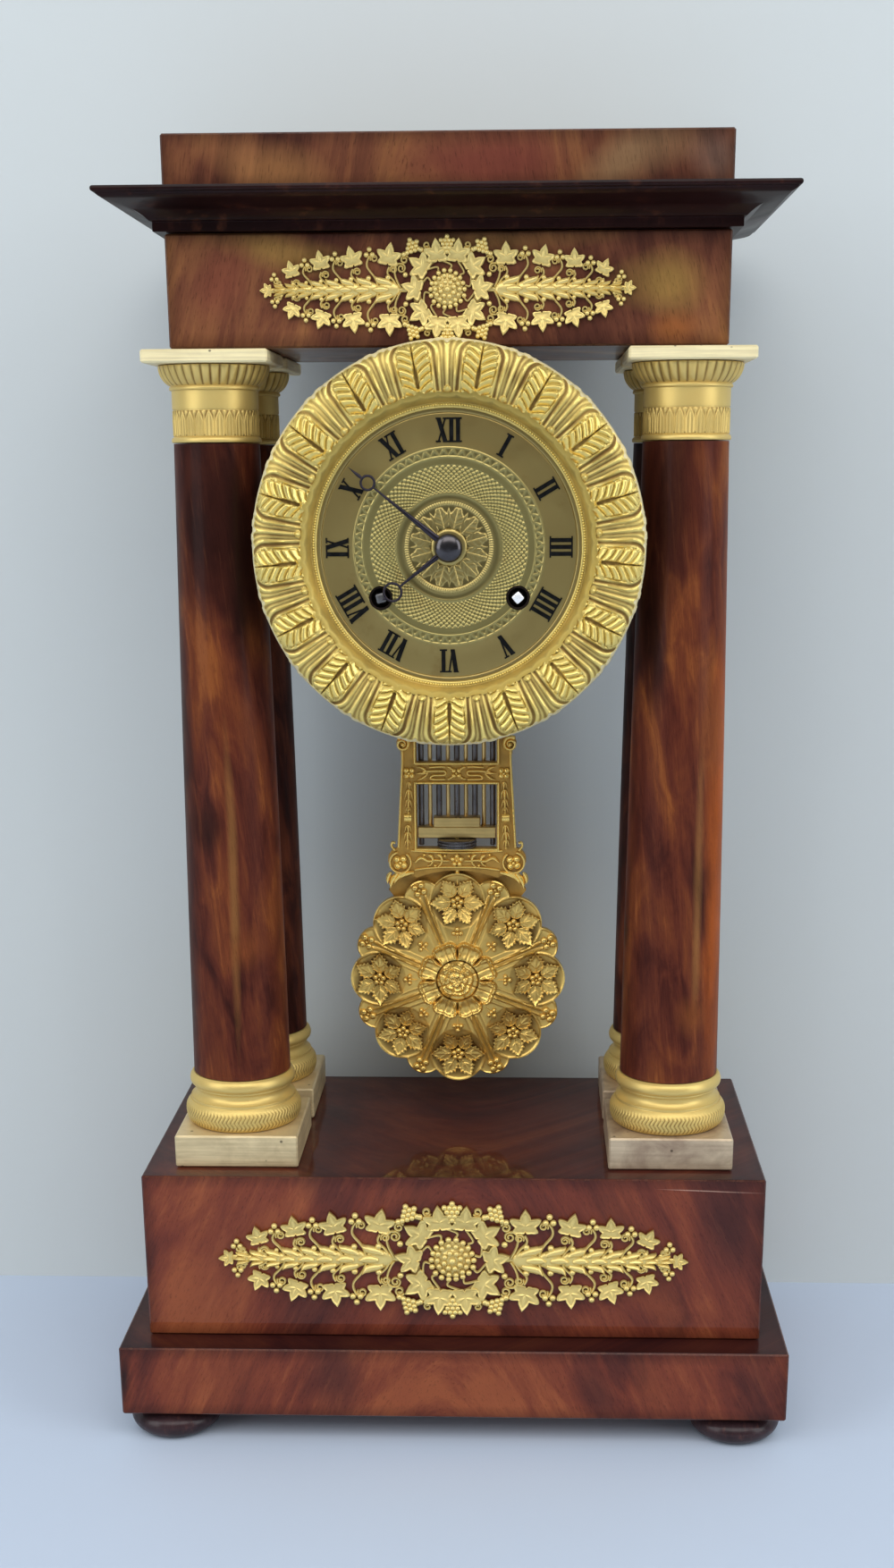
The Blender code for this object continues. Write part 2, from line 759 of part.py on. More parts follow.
def make_back_plate(finish):
    """The back plate with its pillars and the bent post that carries the bell."""
    outline = circle(back_plate_radius, fine_sides)
    holes = [circle(train_arbor_radius + run_gap, arbor_sides)]
    places = [intermediate_place(), escape_place(), (0.0, suspension_rise)]
    holes += [circle(pivot_radius + run_gap, arbor_sides, place) for place in places]
    holes += [circle(pivot_radius + 2 * run_gap, arbor_sides, place) for place in winding_places().values()]
    holes.append(circle(hammer_arbor_radius + run_gap, arbor_sides, hammer_place()))
    made = new_object("back_plate", plate(outline, holes, back_plate_back, back_plate_front), finish,
                      (0, 0, dial_centre), True)
    pillar_span = (back_plate_front - plate_thickness / 2, front_plate_back - seat_gap)
    pillars = [shifted(cylinder(pillar_radius, *pillar_span), (*polar(pillar_circle, degrees), 0))
               for degrees in pillar_degrees]
    crown = -bell_setback - bell_height
    reach = crown - bell_stand_reach - bell_stand_radius
    post = tube([(bell_stand_offset, -bell_stand_drop, back_plate_back + plate_thickness / 2),
                 (bell_stand_offset, -bell_stand_drop, reach),
                 (0.0, bell_rise, reach),
                 (0.0, bell_rise, crown + bell_wall + overrun)], bell_stand_radius)
    combine(made, "UNION", *pillars, post)


def make_winding_arbor(name, place, finish):
    """A plain arbor with a ratchet wheel before the front plate and a square end in the dial."""
    radius = winding_arbor_radius
    front = dial_front + winding_square_proud
    square_from = dial_back - 2 * ratchet_thickness
    pivot = pivot_radius + run_gap
    body = [(pivot, back_plate_back - seat_gap), (pivot, back_plate_front + seat_gap),
            (radius, back_plate_front + seat_gap), (radius, square_from)]
    made = new_object(name, spun(body, arbor_sides), finish, (place[0], 0, dial_centre + place[1]), True)
    half = winding_square / 2
    ratchet_back = front_plate_front + seat_gap
    ratchet = []
    for k in range(ratchet_teeth):
        for along, out in ratchet_tooth_shares:
            angle = 2 * math.pi * (k + along) / ratchet_teeth
            ratchet.append((out * ratchet_radius * math.cos(angle), out * ratchet_radius * math.sin(angle)))
    combine(made, "UNION", slab((-half, -half, square_from - ratchet_thickness), (half, half, front)),
            plate(ratchet, [], ratchet_back, ratchet_back + ratchet_thickness))


def barrel_front():
    return front_plate_back - barrel_shake


def make_barrel(name, place, finish, towards):
    """A drum with a toothed rim at its front; the mainspring inside is not modelled."""
    front = barrel_front()
    wheel_back = front - barrel_wheel_thickness
    bore = winding_arbor_radius + run_gap
    body = spun([(barrel_body_radius, front - barrel_length), (barrel_body_radius, wheel_back + run_gap)],
                wheel_sides, bore)
    made = new_object(name, body, finish, (place[0], 0, dial_centre + place[1]), True)
    rim = toothed(barrel_teeth, barrel_module, towards, True)
    combine(made, "UNION", plate(rim, [circle(bore, arbor_sides)], wheel_back, front))


def direction(start, end):
    return math.atan2(end[1] - start[1], end[0] - start[0])


def train_arbor(radius):
    return cylinder(radius, back_plate_back - seat_gap, front_plate_front + seat_gap)


def make_going_train(finish):
    places = winding_places()
    middle = intermediate_place()
    make_barrel("going_barrel", places["going"], finish["brass"], direction(places["going"], middle))
    make_barrel("strike_barrel", places["strike"], finish["brass"], direction(places["strike"], (0.0, 0.0)))
    for train, place in places.items():
        make_winding_arbor(f"{train}_winding_arbor", place, finish["steel"])
    made = new_object("intermediate_wheel", train_arbor(pivot_radius), finish["brass"],
                      (middle[0], 0, dial_centre + middle[1]), True)
    wheel_back = back_plate_front + intermediate_height
    wheel = plate(toothed(intermediate_teeth, train_module, direction(middle, (0.0, 0.0)), True), [],
                  wheel_back, wheel_back + wheel_thickness)
    pinion_back = barrel_front() - barrel_wheel_thickness / 2 - pinion_length / 2
    leaves = toothed(intermediate_leaves, barrel_module, direction(middle, places["going"]), False, True)
    combine(made, "UNION", wheel, plate(leaves, [], pinion_back, pinion_back + pinion_length))


def make_centre_arbor(finish):
    """Centre arbor: a pinion between the plates, the cannon pinion before them, a boss over the hands."""
    middle = intermediate_place()
    step = front_plate_front + seat_gap
    profile = [(train_arbor_radius, back_plate_back - seat_gap), (train_arbor_radius, step),
               (cannon_radius, step), (cannon_radius, hub_back)]
    profile += scaled(hub_shares, hand_hub_radius, hub_height, hub_back)
    made = new_object("centre_arbor", spun(profile, pipe_sides), finish, (0, 0, dial_centre), True)
    smooth(made)
    pinion_back = back_plate_front + intermediate_height + wheel_thickness / 2 - pinion_length / 2
    pinion = plate(toothed(centre_leaves, train_module, direction((0.0, 0.0), middle), False, True), [],
                   pinion_back, pinion_back + pinion_length)
    cannon_back = front_plate_front + 2 * seat_gap
    leaves = toothed(cannon_leaves, cannon_module, direction((0.0, 0.0), minute_wheel_place()), False, True)
    combine(made, "UNION", pinion, plate(leaves, [], cannon_back, cannon_back + 2 * wheel_thickness))


def motion_module():
    """The module that brings the minute pinion and the hour wheel to the same centre distance."""
    distance = (cannon_leaves + minute_wheel_teeth) * cannon_module
    return distance / (minute_pinion_leaves + hour_wheel_teeth)


def make_motion_work(finish):
    place = minute_wheel_place()
    up = direction(place, (0.0, 0.0))
    bore = minute_stud_radius + run_gap
    wheel_back = front_plate_front + 2 * seat_gap + wheel_thickness / 2
    pinion_front = dial_back - 2 * seat_gap
    wheel = plate(toothed(minute_wheel_teeth, cannon_module, up, True), [circle(bore, arbor_sides)],
                  wheel_back, wheel_back + wheel_thickness)
    minute = new_object("minute_wheel", wheel, finish, (place[0], 0, dial_centre + place[1]), True)
    leaves = toothed(minute_pinion_leaves, motion_module(), up, False, True)
    pinion_back = wheel_back + wheel_thickness / 2
    combine(minute, "UNION", plate(leaves, [circle(bore, arbor_sides)], pinion_back, pinion_front))
    hour_back = pinion_front - seat_gap - wheel_thickness
    rim = plate(toothed(hour_wheel_teeth, motion_module(), -up, True), [circle(pipe_inner, pipe_sides)],
                hour_back, hour_back + wheel_thickness)
    hour = new_object("hour_wheel", rim, finish, (0, 0, dial_centre), True)
    pipe_span = (hour_back + wheel_thickness / 2, hour_hand_back + hand_thickness)
    combine(hour, "UNION", spun([(pipe_outer, height) for height in pipe_span], pipe_sides, pipe_inner))


def hand_outline(length, hub, ring_radius):
    """A moon hand pointing up: hub, slender stem, ring and a fine tip."""
    stem = hand_stem_half_width
    ring_at = length - hand_tip_length - 2 * ring_radius
    right = [(0.25 * stem, length)]
    right += [(0.6 * stem, ring_at + ring_radius + stem)]
    right += [(ring_radius * math.cos(math.radians(a)), ring_at + ring_radius * math.sin(math.radians(a)))
              for a in (75, 45, 15, -15, -45, -75)]
    right += [(0.8 * stem, ring_at - ring_radius - stem)]
    start = math.degrees(math.acos(stem / hub))
    right += [(hub * math.cos(math.radians(a)), hub * math.sin(math.radians(a)))
              for a in (start, 52, 26, 0, -26, -52, -78)]
    return mirrored(right), (0.0, ring_at - 0.18 * ring_radius)


def make_hand(name, length, ring_radius, bore, back, degrees, finish):
    outline, ring_centre = hand_outline(length, bore + hand_hub_wall, ring_radius)
    turn = math.radians(degrees)

    def pointed(points):
        return [(x * math.cos(turn) + y * math.sin(turn), y * math.cos(turn) - x * math.sin(turn))
                for x, y in points]

    holes = [circle(bore, pipe_sides), pointed(circle(0.62 * ring_radius, pipe_sides // 2, ring_centre))]
    blade = plate(pointed(outline), holes, back, back + hand_thickness)
    new_object(name, blade, finish, (0, 0, dial_centre), True)


# Escapement

def make_escape_wheel(finish):
    place = escape_place()
    made = new_object("escape_wheel", train_arbor(pivot_radius), finish,
                      (place[0], 0, dial_centre + place[1]), True)
    teeth = []
    pitch = 2 * math.pi / escape_wheel_teeth
    for k in range(escape_wheel_teeth):
        for share, radius_share in escape_tooth_shares:
            angle = (k + share) * pitch
            radius = radius_share * escape_wheel_radius
            teeth.append((radius * math.cos(angle), radius * math.sin(angle)))
    wheel_back = back_plate_front + plate_distance * 0.58
    wheel = plate(teeth, [], wheel_back, wheel_back + wheel_thickness)
    leaves = toothed(escape_pinion_leaves, train_module, 0.0, True, True)
    pinion = plate(leaves, [], wheel_back - 2 * pinion_length, wheel_back - pinion_length)
    combine(made, "UNION", wheel, pinion)


def make_pallets(finish):
    """Anchor over the escape wheel on a long arbor, with the crutch and its fork behind the back plate."""
    arbor_back = back_plate_back - crutch_stand - crutch_thickness - seat_gap
    arbor = cylinder(pivot_radius, arbor_back, front_plate_front + seat_gap)
    made = new_object("pallets", arbor, finish, (0, 0, suspension), True)
    reach = escape_wheel_radius + pallet_clearance
    tip = (reach * math.sin(math.radians(pallet_degrees)),
           reach * math.cos(math.radians(pallet_degrees)) - escape_wheel_drop)
    hub = 2.2 * pivot_radius
    nib = pallet_half_width
    x, y = tip
    anchor = mirrored([(hub / 2, 1.1 * hub), (1.2 * hub, 0.8 * hub), (x + 2 * nib, y + 3 * nib),
                       (x + 1.4 * nib, y), tip, (x - nib, y + 3.4 * nib), (hub / 2, -hub)])
    wheel_back = back_plate_front + plate_distance * 0.58
    anchor_plate = plate(anchor, [], wheel_back - wheel_thickness / 2, wheel_back + 1.5 * wheel_thickness)
    crutch_front = back_plate_back - crutch_stand
    bar = mirrored([(pivot_radius, 2 * pivot_radius), (2 * pivot_radius, pivot_radius / 2),
                    (crutch_half_width, -2 * pivot_radius), (crutch_half_width, -crutch_length)])
    crutch = plate(bar, [], crutch_front - crutch_thickness, crutch_front)
    inside = rod_half_width + run_gap
    outside = inside + fork_prong
    near = -pendulum_setback + frame_thickness / 2 + run_gap
    far = -pendulum_setback - frame_thickness / 2
    neck = fork_prong / 2
    fork = [(neck, crutch_front - crutch_thickness / 2), (neck, near + fork_prong),
            (outside, near + fork_prong), (outside, far), (inside, far), (inside, near)]
    fork_outline = fork + [(-x, y) for x, y in reversed(fork)]
    arms = plate(fork_outline, [], -fork_prong / 2, fork_prong / 2)
    bmesh.ops.rotate(arms, verts=arms.verts[:], matrix=Matrix.Rotation(-front_facing, 3, "X"))
    bmesh.ops.scale(arms, verts=arms.verts[:], vec=(1, -1, -1))
    combine(made, "UNION", anchor_plate, crutch, shifted(arms, (0, -crutch_length, 0)))


def make_cock(finish):
    """Bridge on the back plate whose arm carries the slotted block that the suspension spring hangs in."""
    low = cock_rise
    foot_front = back_plate_back - seat_gap
    half = cock_width / 2
    foot = slab((-half, low, foot_front - cock_thickness), (half, low + cock_height, foot_front))
    made = new_object("suspension_cock", foot, finish, (0, 0, suspension), True)
    block_back = -pendulum_setback - frame_thickness / 2
    block_front = -pendulum_setback + frame_thickness / 2
    slot = spring_half_width + spring_slot_gap
    arm = slab((-cock_arm_half_width, low, block_back),
               (cock_arm_half_width, low + cock_arm_height, foot_front - cock_thickness / 2))
    block = slab((-cock_block_half_width, -pivot_radius, block_back),
                 (cock_block_half_width, low + cock_arm_height, block_front))
    cut = slab((-slot, -overrun, block_back - overrun),
               (slot, spring_head + seat_gap, block_front + overrun))
    combine(made, "UNION", arm, block)
    combine(made, "DIFFERENCE", cut)


# Pendulum

# Drops below the suspension, from the base up
bob_drop = suspension - base_top - bob_clearance - bob_radius
band_top_drop = bob_drop - bob_radius - bottom_band_height
cross_bottom_drop = band_top_drop - lower_window_height
cross_top_drop = cross_bottom_drop - cross_band_height
bar_bottom_drop = cross_top_drop - upper_window_height
frame_top_drop = bar_bottom_drop - frame_bar_height


def make_pendulum_frame(finish):
    """One gilt casting: spring, rod, top bar with scrolls, two windows and the band over the bob."""
    scroll_drop = frame_top_drop + frame_bar_height + scroll_radius / 2
    volute = (bottom_band_half_width - volute_radius, -band_top_drop - volute_radius)
    clear = bob_radius + bob_travel + seat_gap
    right = [(spring_half_width, spring_head), (spring_half_width, -spring_length),
             (rod_half_width, -spring_length - rod_half_width), (rod_half_width, -frame_top_drop),
             (scroll_offset, -frame_top_drop)]
    right += arc(scroll_radius, (scroll_offset, -scroll_drop), *scroll_degrees)
    right += [(frame_shoulder_half_width, -cross_top_drop), (frame_waist_half_width, -band_top_drop)]
    right += arc(volute_radius, volute, *volute_degrees)
    right += [(x, y - bob_drop) for x, y in arc(clear, (0.0, 0.0), *bob_notch_degrees)]
    half = window_half_width
    windows = [[(-half, -top), (half, -top), (half, -bottom), (-half, -bottom)]
               for top, bottom in ((bar_bottom_drop, cross_top_drop), (cross_bottom_drop, band_top_drop))]
    back = -pendulum_setback - frame_thickness / 2
    sheet = plate(mirrored(right), windows, back, back + frame_thickness)
    made = new_object("pendulum_frame", sheet, finish,
                      (0, 0, suspension), True)
    hole = cylinder(stem_radius + run_gap, -bob_drop, -band_top_drop + overrun)
    combine(made, "DIFFERENCE", upright(hole))


def upright(bm):
    """Turns a shape made about Z so that it stands up on a front-facing piece, in the pendulum's plane."""
    bmesh.ops.rotate(bm, verts=bm.verts[:], matrix=Matrix.Rotation(-front_facing, 3, "X"))
    return shifted(bm, (0, 0, -pendulum_setback))


def make_gridiron(finish):
    """Nine rods behind the windows, between a top bar and the stepped block over the rating nut."""
    nut_top = band_top_drop - nut_thickness - 2 * seat_gap
    lower = nut_top - block_lower_height
    upper = lower - block_upper_height
    front = -pendulum_setback - frame_thickness / 2 - seat_gap
    rod_plane = front - grid_rod_radius - seat_gap
    back = rod_plane - grid_rod_radius - seat_gap
    wide = window_half_width - seat_gap
    block_front = -pendulum_setback + frame_thickness / 2
    made = new_object("gridiron", slab((-wide, -nut_top, back), (wide, -lower, block_front)), finish,
                      (0, 0, suspension), True)
    half = block_upper_half_width
    step = slab((-half, -lower - seat_gap, back), (half, -upper, block_front))
    half = wide + seat_gap
    top = slab((-half, -bar_bottom_drop + grid_rod_radius, back), (half, -frame_top_drop, front))
    combine(made, "UNION", step, top)
    rods = []
    for k in range(grid_rods):
        x = (k - (grid_rods - 1) / 2) * grid_spacing
        rod = spun([(grid_rod_radius, -lower - seat_gap), (grid_rod_radius, -frame_top_drop - seat_gap)], 8)
        bmesh.ops.rotate(rod, verts=rod.verts[:], matrix=Matrix.Rotation(-front_facing, 3, "X"))
        rods.append(shifted(rod, (x, 0, rod_plane)))
    combine(made, "UNION", *rods)
    hole = cylinder(stem_radius + run_gap, -band_top_drop, -upper - overrun)
    combine(made, "DIFFERENCE", upright(hole))


def make_rating_nut(finish):
    low = -band_top_drop + seat_gap
    nut = new_object("rating_nut", spun([(nut_radius, 0.0), (nut_radius, nut_thickness)], wheel_sides,
                                        stem_radius + run_gap), finish,
                     (0, pendulum_setback, suspension + low))
    smooth(nut)


def make_bob(finish):
    """A lobed disc with a raised middle, hung on its stem."""
    sides = 6 * bob_lobes
    bm = bmesh.new()
    front = -pendulum_setback + bob_thickness / 2
    made_rings = []
    for share, rise in bob_shares:
        row = []
        for k in range(sides):
            angle = math.pi / 2 + 2 * math.pi * k / sides
            lobe = 1 - 0.035 * (1 - abs(math.cos(bob_lobes / 2 * (angle - math.pi / 2))))
            radius = bob_radius * share * (lobe if share == 1.0 else 1.0)
            row.append((radius * math.cos(angle), radius * math.sin(angle), front + bob_relief * rise))
        if share:
            made_rings.append([bm.verts.new(p) for p in row])
        else:
            made_rings.append([bm.verts.new(row[0])] * sides)
    back = [bm.verts.new((v.co.x, v.co.y, front - bob_thickness)) for v in made_rings[-1]]
    made_rings.append(back)
    for low, high in zip(made_rings, made_rings[1:]):
        for k in range(sides):
            n = (k + 1) % sides
            face = list(dict.fromkeys((low[k], low[n], high[n], high[k])))
            bm.faces.new(face)
    bm.faces.new(back)
    made = new_object("pendulum_bob", bm, finish, (0, 0, suspension - bob_drop), True)
    smooth(made)
    top = bob_drop - band_top_drop + nut_thickness + 2 * seat_gap + block_lower_height - seat_gap
    stem = spun([(stem_radius, bob_radius - 4 * overrun), (stem_radius, top)], arbor_sides)
    combine(made, "UNION", upright(stem))


# Bell

def make_bell(finish):
    outside = [(bell_radius * r, -bell_setback - h * bell_height) for r, h in bell_shares]
    inside = [(bell_radius * r - bell_wall * (1 - h), -bell_setback - h * (bell_height - bell_wall))
              for r, h in bell_shares]
    hole = bell_stand_radius + run_gap
    ring = outside + [(hole, outside[-1][1]), (hole, inside[-1][1])] + list(reversed(inside))
    bm = bmesh.new()
    rings = [[bm.verts.new((r * math.cos(a), r * math.sin(a), h))
              for a in (2 * math.pi * k / wheel_sides for k in range(wheel_sides))] for r, h in ring]
    for k in range(len(rings)):
        low, high = rings[k - 1], rings[k]
        for side in range(wheel_sides):
            n = (side + 1) % wheel_sides
            bm.faces.new((low[side], low[n], high[n], high[side]))
    bell = new_object("bell", bm, finish, (0, 0, dial_centre + bell_rise), True)
    smooth(bell)


def make_hammer(finish):
    """Arbor through the back plate, a bent arm behind it and a round head beside the bell."""
    place = hammer_place()
    arm_back = -bell_setback - hammer_head_length / 2 - hammer_arm_thickness / 2
    arbor = cylinder(hammer_arbor_radius, arm_back, back_plate_front - seat_gap)
    made = new_object("bell_hammer", arbor, finish, (place[0], 0, dial_centre + place[1]), True)
    head_x = -bell_radius - hammer_gap - hammer_head_radius - place[0]
    head_y = bell_rise - place[1]
    along = Vector((head_x, head_y)).normalized()
    side = Vector((-along.y, along.x)) * hammer_arm_half_width
    end = Vector((head_x, head_y))
    hub = along * 2 * hammer_arbor_radius
    outline = [tuple(end + side), tuple(side - hub), tuple(-side - hub), tuple(end - side)]
    arm = plate(outline, [], arm_back, arm_back + hammer_arm_thickness)
    head = cylinder(hammer_head_radius, -bell_setback - hammer_head_length, -bell_setback)
    combine(made, "UNION", arm, shifted(head, (head_x, head_y, 0)))


def build():
    for old in list(bpy.data.objects):
        bpy.data.objects.remove(old)
    mahogany = material("flame_mahogany", (0.19, 0.055, 0.028), 0.22, 0.0)
    dark_mahogany = material("dark_mahogany", (0.045, 0.014, 0.010), 0.25, 0.0)
    gilt = material("matte_gilt", (0.80, 0.55, 0.20), 0.38, 1.0)
    brass = material("pale_brass", (0.72, 0.60, 0.36), 0.35, 1.0)
    dial_brass = material("silvered_dial_brass", (0.50, 0.44, 0.22), 0.42, 1.0)
    steel = material("steel", (0.30, 0.30, 0.31), 0.35, 1.0)
    black = material("blacked_steel", (0.02, 0.02, 0.022), 0.30, 1.0)
    bell_metal = material("bell_metal", (0.60, 0.50, 0.30), 0.25, 1.0)

    make_feet(dark_mahogany)
    make_plinth(mahogany)
    make_base_box(mahogany)
    make_mount("base_mount", gilt, base_mount_half_length, base_mount_half_height, base_depth / 2,
               base_bottom + base_height / 2)
    for corner, (sx, sy) in corners.items():
        make_column(corner, sx, sy, {"brass": brass, "gilt": gilt, "mahogany": mahogany})
        make_tie_rod(corner, sx, sy, steel)
    make_lintel(mahogany)
    make_mount("lintel_mount", gilt, lintel_mount_half_length, lintel_mount_half_height, lintel_depth / 2,
               lintel_bottom + lintel_height / 2)
    make_cornice(dark_mahogany)
    make_attic(mahogany)

    make_bezel(gilt)
    make_dial(dial_brass)
    make_drum(brass)
    make_saddle(brass)
    make_front_plate(brass)
    make_back_plate(brass)
    make_going_train({"brass": brass, "steel": steel})
    make_centre_arbor(steel)
    make_motion_work(brass)
    make_hand("hour_hand", hour_hand_length, hour_ring_radius, pipe_outer + run_gap, hour_hand_back,
              hour_hand_degrees, black)
    make_hand("minute_hand", minute_hand_length, minute_ring_radius, cannon_radius + run_gap,
              minute_hand_back, minute_hand_degrees, black)
    make_escape_wheel(brass)
    make_pallets(steel)
    make_cock(brass)

    make_pendulum_frame(gilt)
    make_gridiron(brass)
    make_rating_nut(black)
    make_bob(gilt)
    make_bell(bell_metal)
    make_hammer(steel)


build()
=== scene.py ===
"""The looks of a portico mantel clock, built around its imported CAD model.

Every surface is worked out with numpy as a whole array of points, in metres, in the frame of the CAD:
X to the right, Y to the rear, Z up, the dial facing -Y. The sections follow the clock as it is put together.
"""

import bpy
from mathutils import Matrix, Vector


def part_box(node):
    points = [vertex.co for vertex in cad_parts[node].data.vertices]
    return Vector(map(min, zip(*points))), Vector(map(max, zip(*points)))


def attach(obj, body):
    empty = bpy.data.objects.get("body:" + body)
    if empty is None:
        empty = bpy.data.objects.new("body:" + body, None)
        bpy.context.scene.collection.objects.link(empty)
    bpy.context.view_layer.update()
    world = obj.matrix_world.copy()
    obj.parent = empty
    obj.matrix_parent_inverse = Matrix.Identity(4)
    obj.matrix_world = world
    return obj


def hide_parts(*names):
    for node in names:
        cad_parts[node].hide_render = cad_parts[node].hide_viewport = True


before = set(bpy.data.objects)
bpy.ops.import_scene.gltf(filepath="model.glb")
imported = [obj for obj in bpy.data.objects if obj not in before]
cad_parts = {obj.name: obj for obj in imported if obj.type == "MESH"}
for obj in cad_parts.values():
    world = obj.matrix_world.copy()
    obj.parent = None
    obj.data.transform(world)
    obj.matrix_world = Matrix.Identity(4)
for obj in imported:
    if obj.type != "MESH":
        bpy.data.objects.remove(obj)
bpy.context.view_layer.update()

import math

import bpy
import numpy as np
from mathutils import Matrix, Vector

mm = 0.001
turn = 2 * math.pi


# ---------------------------------------------------------------- the room
# The clock stands on a painted table close to a pale wall, in soft daylight from windows in front of it.
# The wall shows only from its front, so that the clock can be seen from behind as well.

table_reach = 3.0
wall_distance = 91 * mm
table_colour = (0.55, 0.63, 0.76)
wall_colour = (0.60, 0.635, 0.635)
daylight = (0.93, 0.97, 1.0)


def feed(tree, made, inputs):
    """Gives every named input of a node a socket to read or a plain value."""
    for key, value in inputs.items():
        if isinstance(value, bpy.types.NodeSocket):
            tree.links.new(value, made.inputs[key])
        else:
            made.inputs[key].default_value = value


def node(tree, kind, inputs, **settings):
    """One node of a finish, with its inputs and its settings."""
    made = tree.nodes.new("ShaderNode" + kind)
    for key, value in settings.items():
        setattr(made, key, value)
    feed(tree, made, inputs)
    return made


def sum_of(tree, operation, *values, clamp=False):
    """The outcome of one sum on one to three values or sockets."""
    return node(tree, "Math", dict(enumerate(values)), operation=operation, use_clamp=clamp).outputs[0]


def vector_sum(tree, operation, *values):
    """The outcome of one sum on vectors; that of a length is a plain value."""
    made = node(tree, "VectorMath", dict(enumerate(values)), operation=operation)
    return made.outputs["Value" if operation == "LENGTH" else "Vector"]


def swing(tree, value, share):
    """How far a value from 0 to 1 lies from its middle, times a share."""
    return sum_of(tree, "MULTIPLY", sum_of(tree, "SUBTRACT", value, 0.5), share)


def grey(tree, colour):
    """The lightness of a colour."""
    return node(tree, "RGBToBW", {0: colour}).outputs[0]


def opaque(colour):
    """A colour of three parts with full cover as its fourth; sockets stay as they are."""
    return (*colour, 1) if isinstance(colour, tuple) else colour


def mixed(tree, share, first, second, how="MIX"):
    """Two colours mixed by a share from 0 to 1."""
    inputs = {0: share, 6: opaque(first), 7: opaque(second)}
    return node(tree, "Mix", inputs, data_type="RGBA", blend_type=how).outputs[2]


def times(tree, first, second):
    """Two colours multiplied."""
    return mixed(tree, 1.0, first, second, "MULTIPLY")


def graded(tree, value, *stops):
    """Colours read off a scale: each stop is a place from 0 to 1 and a colour or a grey."""
    ramp = node(tree, "ValToRGB", {0: value})
    scale = ramp.color_ramp.elements
    while len(scale) < len(stops):
        scale.new(0.5)
    for mark, (place, colour) in zip(scale, stops):
        mark.position = place
        mark.color = opaque(colour if isinstance(colour, tuple) else (colour,) * 3)
    return ramp.outputs[0]


def stretched(tree, scale, start=(0, 0, 0)):
    """The piece's own coordinates in metres, moved by start and then scaled, to carry a pattern."""
    own = node(tree, "TexCoord", {}).outputs["Object"]
    moved = node(tree, "Mapping", {"Vector": own, "Location": start}).outputs[0]
    return node(tree, "Mapping", {"Vector": moved, "Scale": scale}).outputs[0]


def clouds(tree, where, detail=4.0, roughness=0.55, distortion=0.0, scale=1.0):
    """Soft noise from 0 to 1 on coordinates, or on the piece's own ones times one or three numbers."""
    if not isinstance(where, bpy.types.NodeSocket):
        where = stretched(tree, where if isinstance(where, tuple) else (where,) * 3)
    return node(tree, "TexNoise", {"Vector": where, "Scale": scale, "Detail": detail, "Roughness": roughness,
                                   "Distortion": distortion}).outputs[0]


def dented(tree, height, strength, depth):
    """The way a surface faces when a pattern dents it, at full strength by depth in millimetres."""
    return node(tree, "Bump", {"Height": height, "Strength": strength, "Distance": depth * mm}).outputs[0]


def new_finish(name):
    """An empty material: the material, its nodes and its shader."""
    made = bpy.data.materials.new(name)
    made.use_nodes = True
    return made, made.node_tree, made.node_tree.nodes["Principled BSDF"]


def sheet_of(name, corners, colour, one_sided):
    """A flat square that belongs to the room and not to the clock."""
    mesh = bpy.data.meshes.new(name)
    mesh.from_pydata(corners, [], [(0, 1, 2, 3)])
    made = bpy.data.objects.new(name, mesh)
    bpy.context.collection.objects.link(made)
    paint, tree, shader = new_finish(name)
    speckle = graded(tree, clouds(tree, 1, scale=9.0), (0.3, 0.0), (0.7, 0.12))
    tint = mixed(tree, speckle, colour, tuple(0.9 * c for c in colour))
    feed(tree, shader, {"Base Color": tint, "Roughness": 0.75})
    if one_sided:
        rear = node(tree, "NewGeometry", {}).outputs["Backfacing"]
        clear = node(tree, "BsdfTransparent", {}).outputs[0]
        both = node(tree, "MixShader", {0: rear, 1: shader.outputs[0], 2: clear}).outputs[0]
        feed(tree, tree.nodes["Material Output"], {"Surface": both})
    mesh.materials.append(paint)


reach, back = table_reach, wall_distance
table_corners = [(-reach, -reach, 0), (reach, -reach, 0), (reach, reach, 0), (-reach, reach, 0)]
wall_corners = [(-reach, back, 0), (reach, back, 0), (reach, back, reach), (-reach, back, reach)]
sheet_of("table", table_corners, table_colour, False)
sheet_of("wall", wall_corners, wall_colour, True)


def window(name, place, aim, size, watts, colour):
    """A soft oblong lamp that looks at a point."""
    lamp = bpy.data.lights.new(name, "AREA")
    lamp.shape, lamp.size, lamp.size_y = "RECTANGLE", size[0], size[1]
    lamp.energy, lamp.color = watts, colour
    made = bpy.data.objects.new(name, lamp)
    made.location = place
    made.rotation_euler = (Vector(aim) - Vector(place)).to_track_quat("-Z", "Y").to_euler()
    bpy.context.collection.objects.link(made)


window("left_window", (-1.7, -1.3, 1.0), (0, 0, 0.25), (1.2, 1.8), 20, daylight)
window("right_window", (1.8, -1.0, 0.9), (0, 0, 0.25), (1.0, 1.7), 17, daylight)
window("front_skylight", (0.15, -1.55, 1.75), (0, 0, 0.2), (2.2, 1.2), 22, (1.0, 0.98, 0.95))

# The room behind the camera is dim, the ceiling and the side walls are brighter.
sky = bpy.data.worlds.new("room")
sky.use_nodes = True
tree = sky.node_tree
way = node(tree, "SeparateXYZ", {0: node(tree, "TexCoord", {}).outputs["Generated"]}).outputs
above = graded(tree, way[2], (0.15, 0.10), (0.75, 0.62))
beside = graded(tree, sum_of(tree, "ABSOLUTE", way[0]), (0.45, 0.0), (0.95, 0.12))
strength = sum_of(tree, "MAXIMUM", grey(tree, above), grey(tree, beside))
feed(tree, tree.nodes["Background"], {"Strength": strength, "Color": (0.88, 0.93, 0.98, 1)})
bpy.context.scene.world = sky
bpy.context.scene.view_settings.view_transform = "Standard"

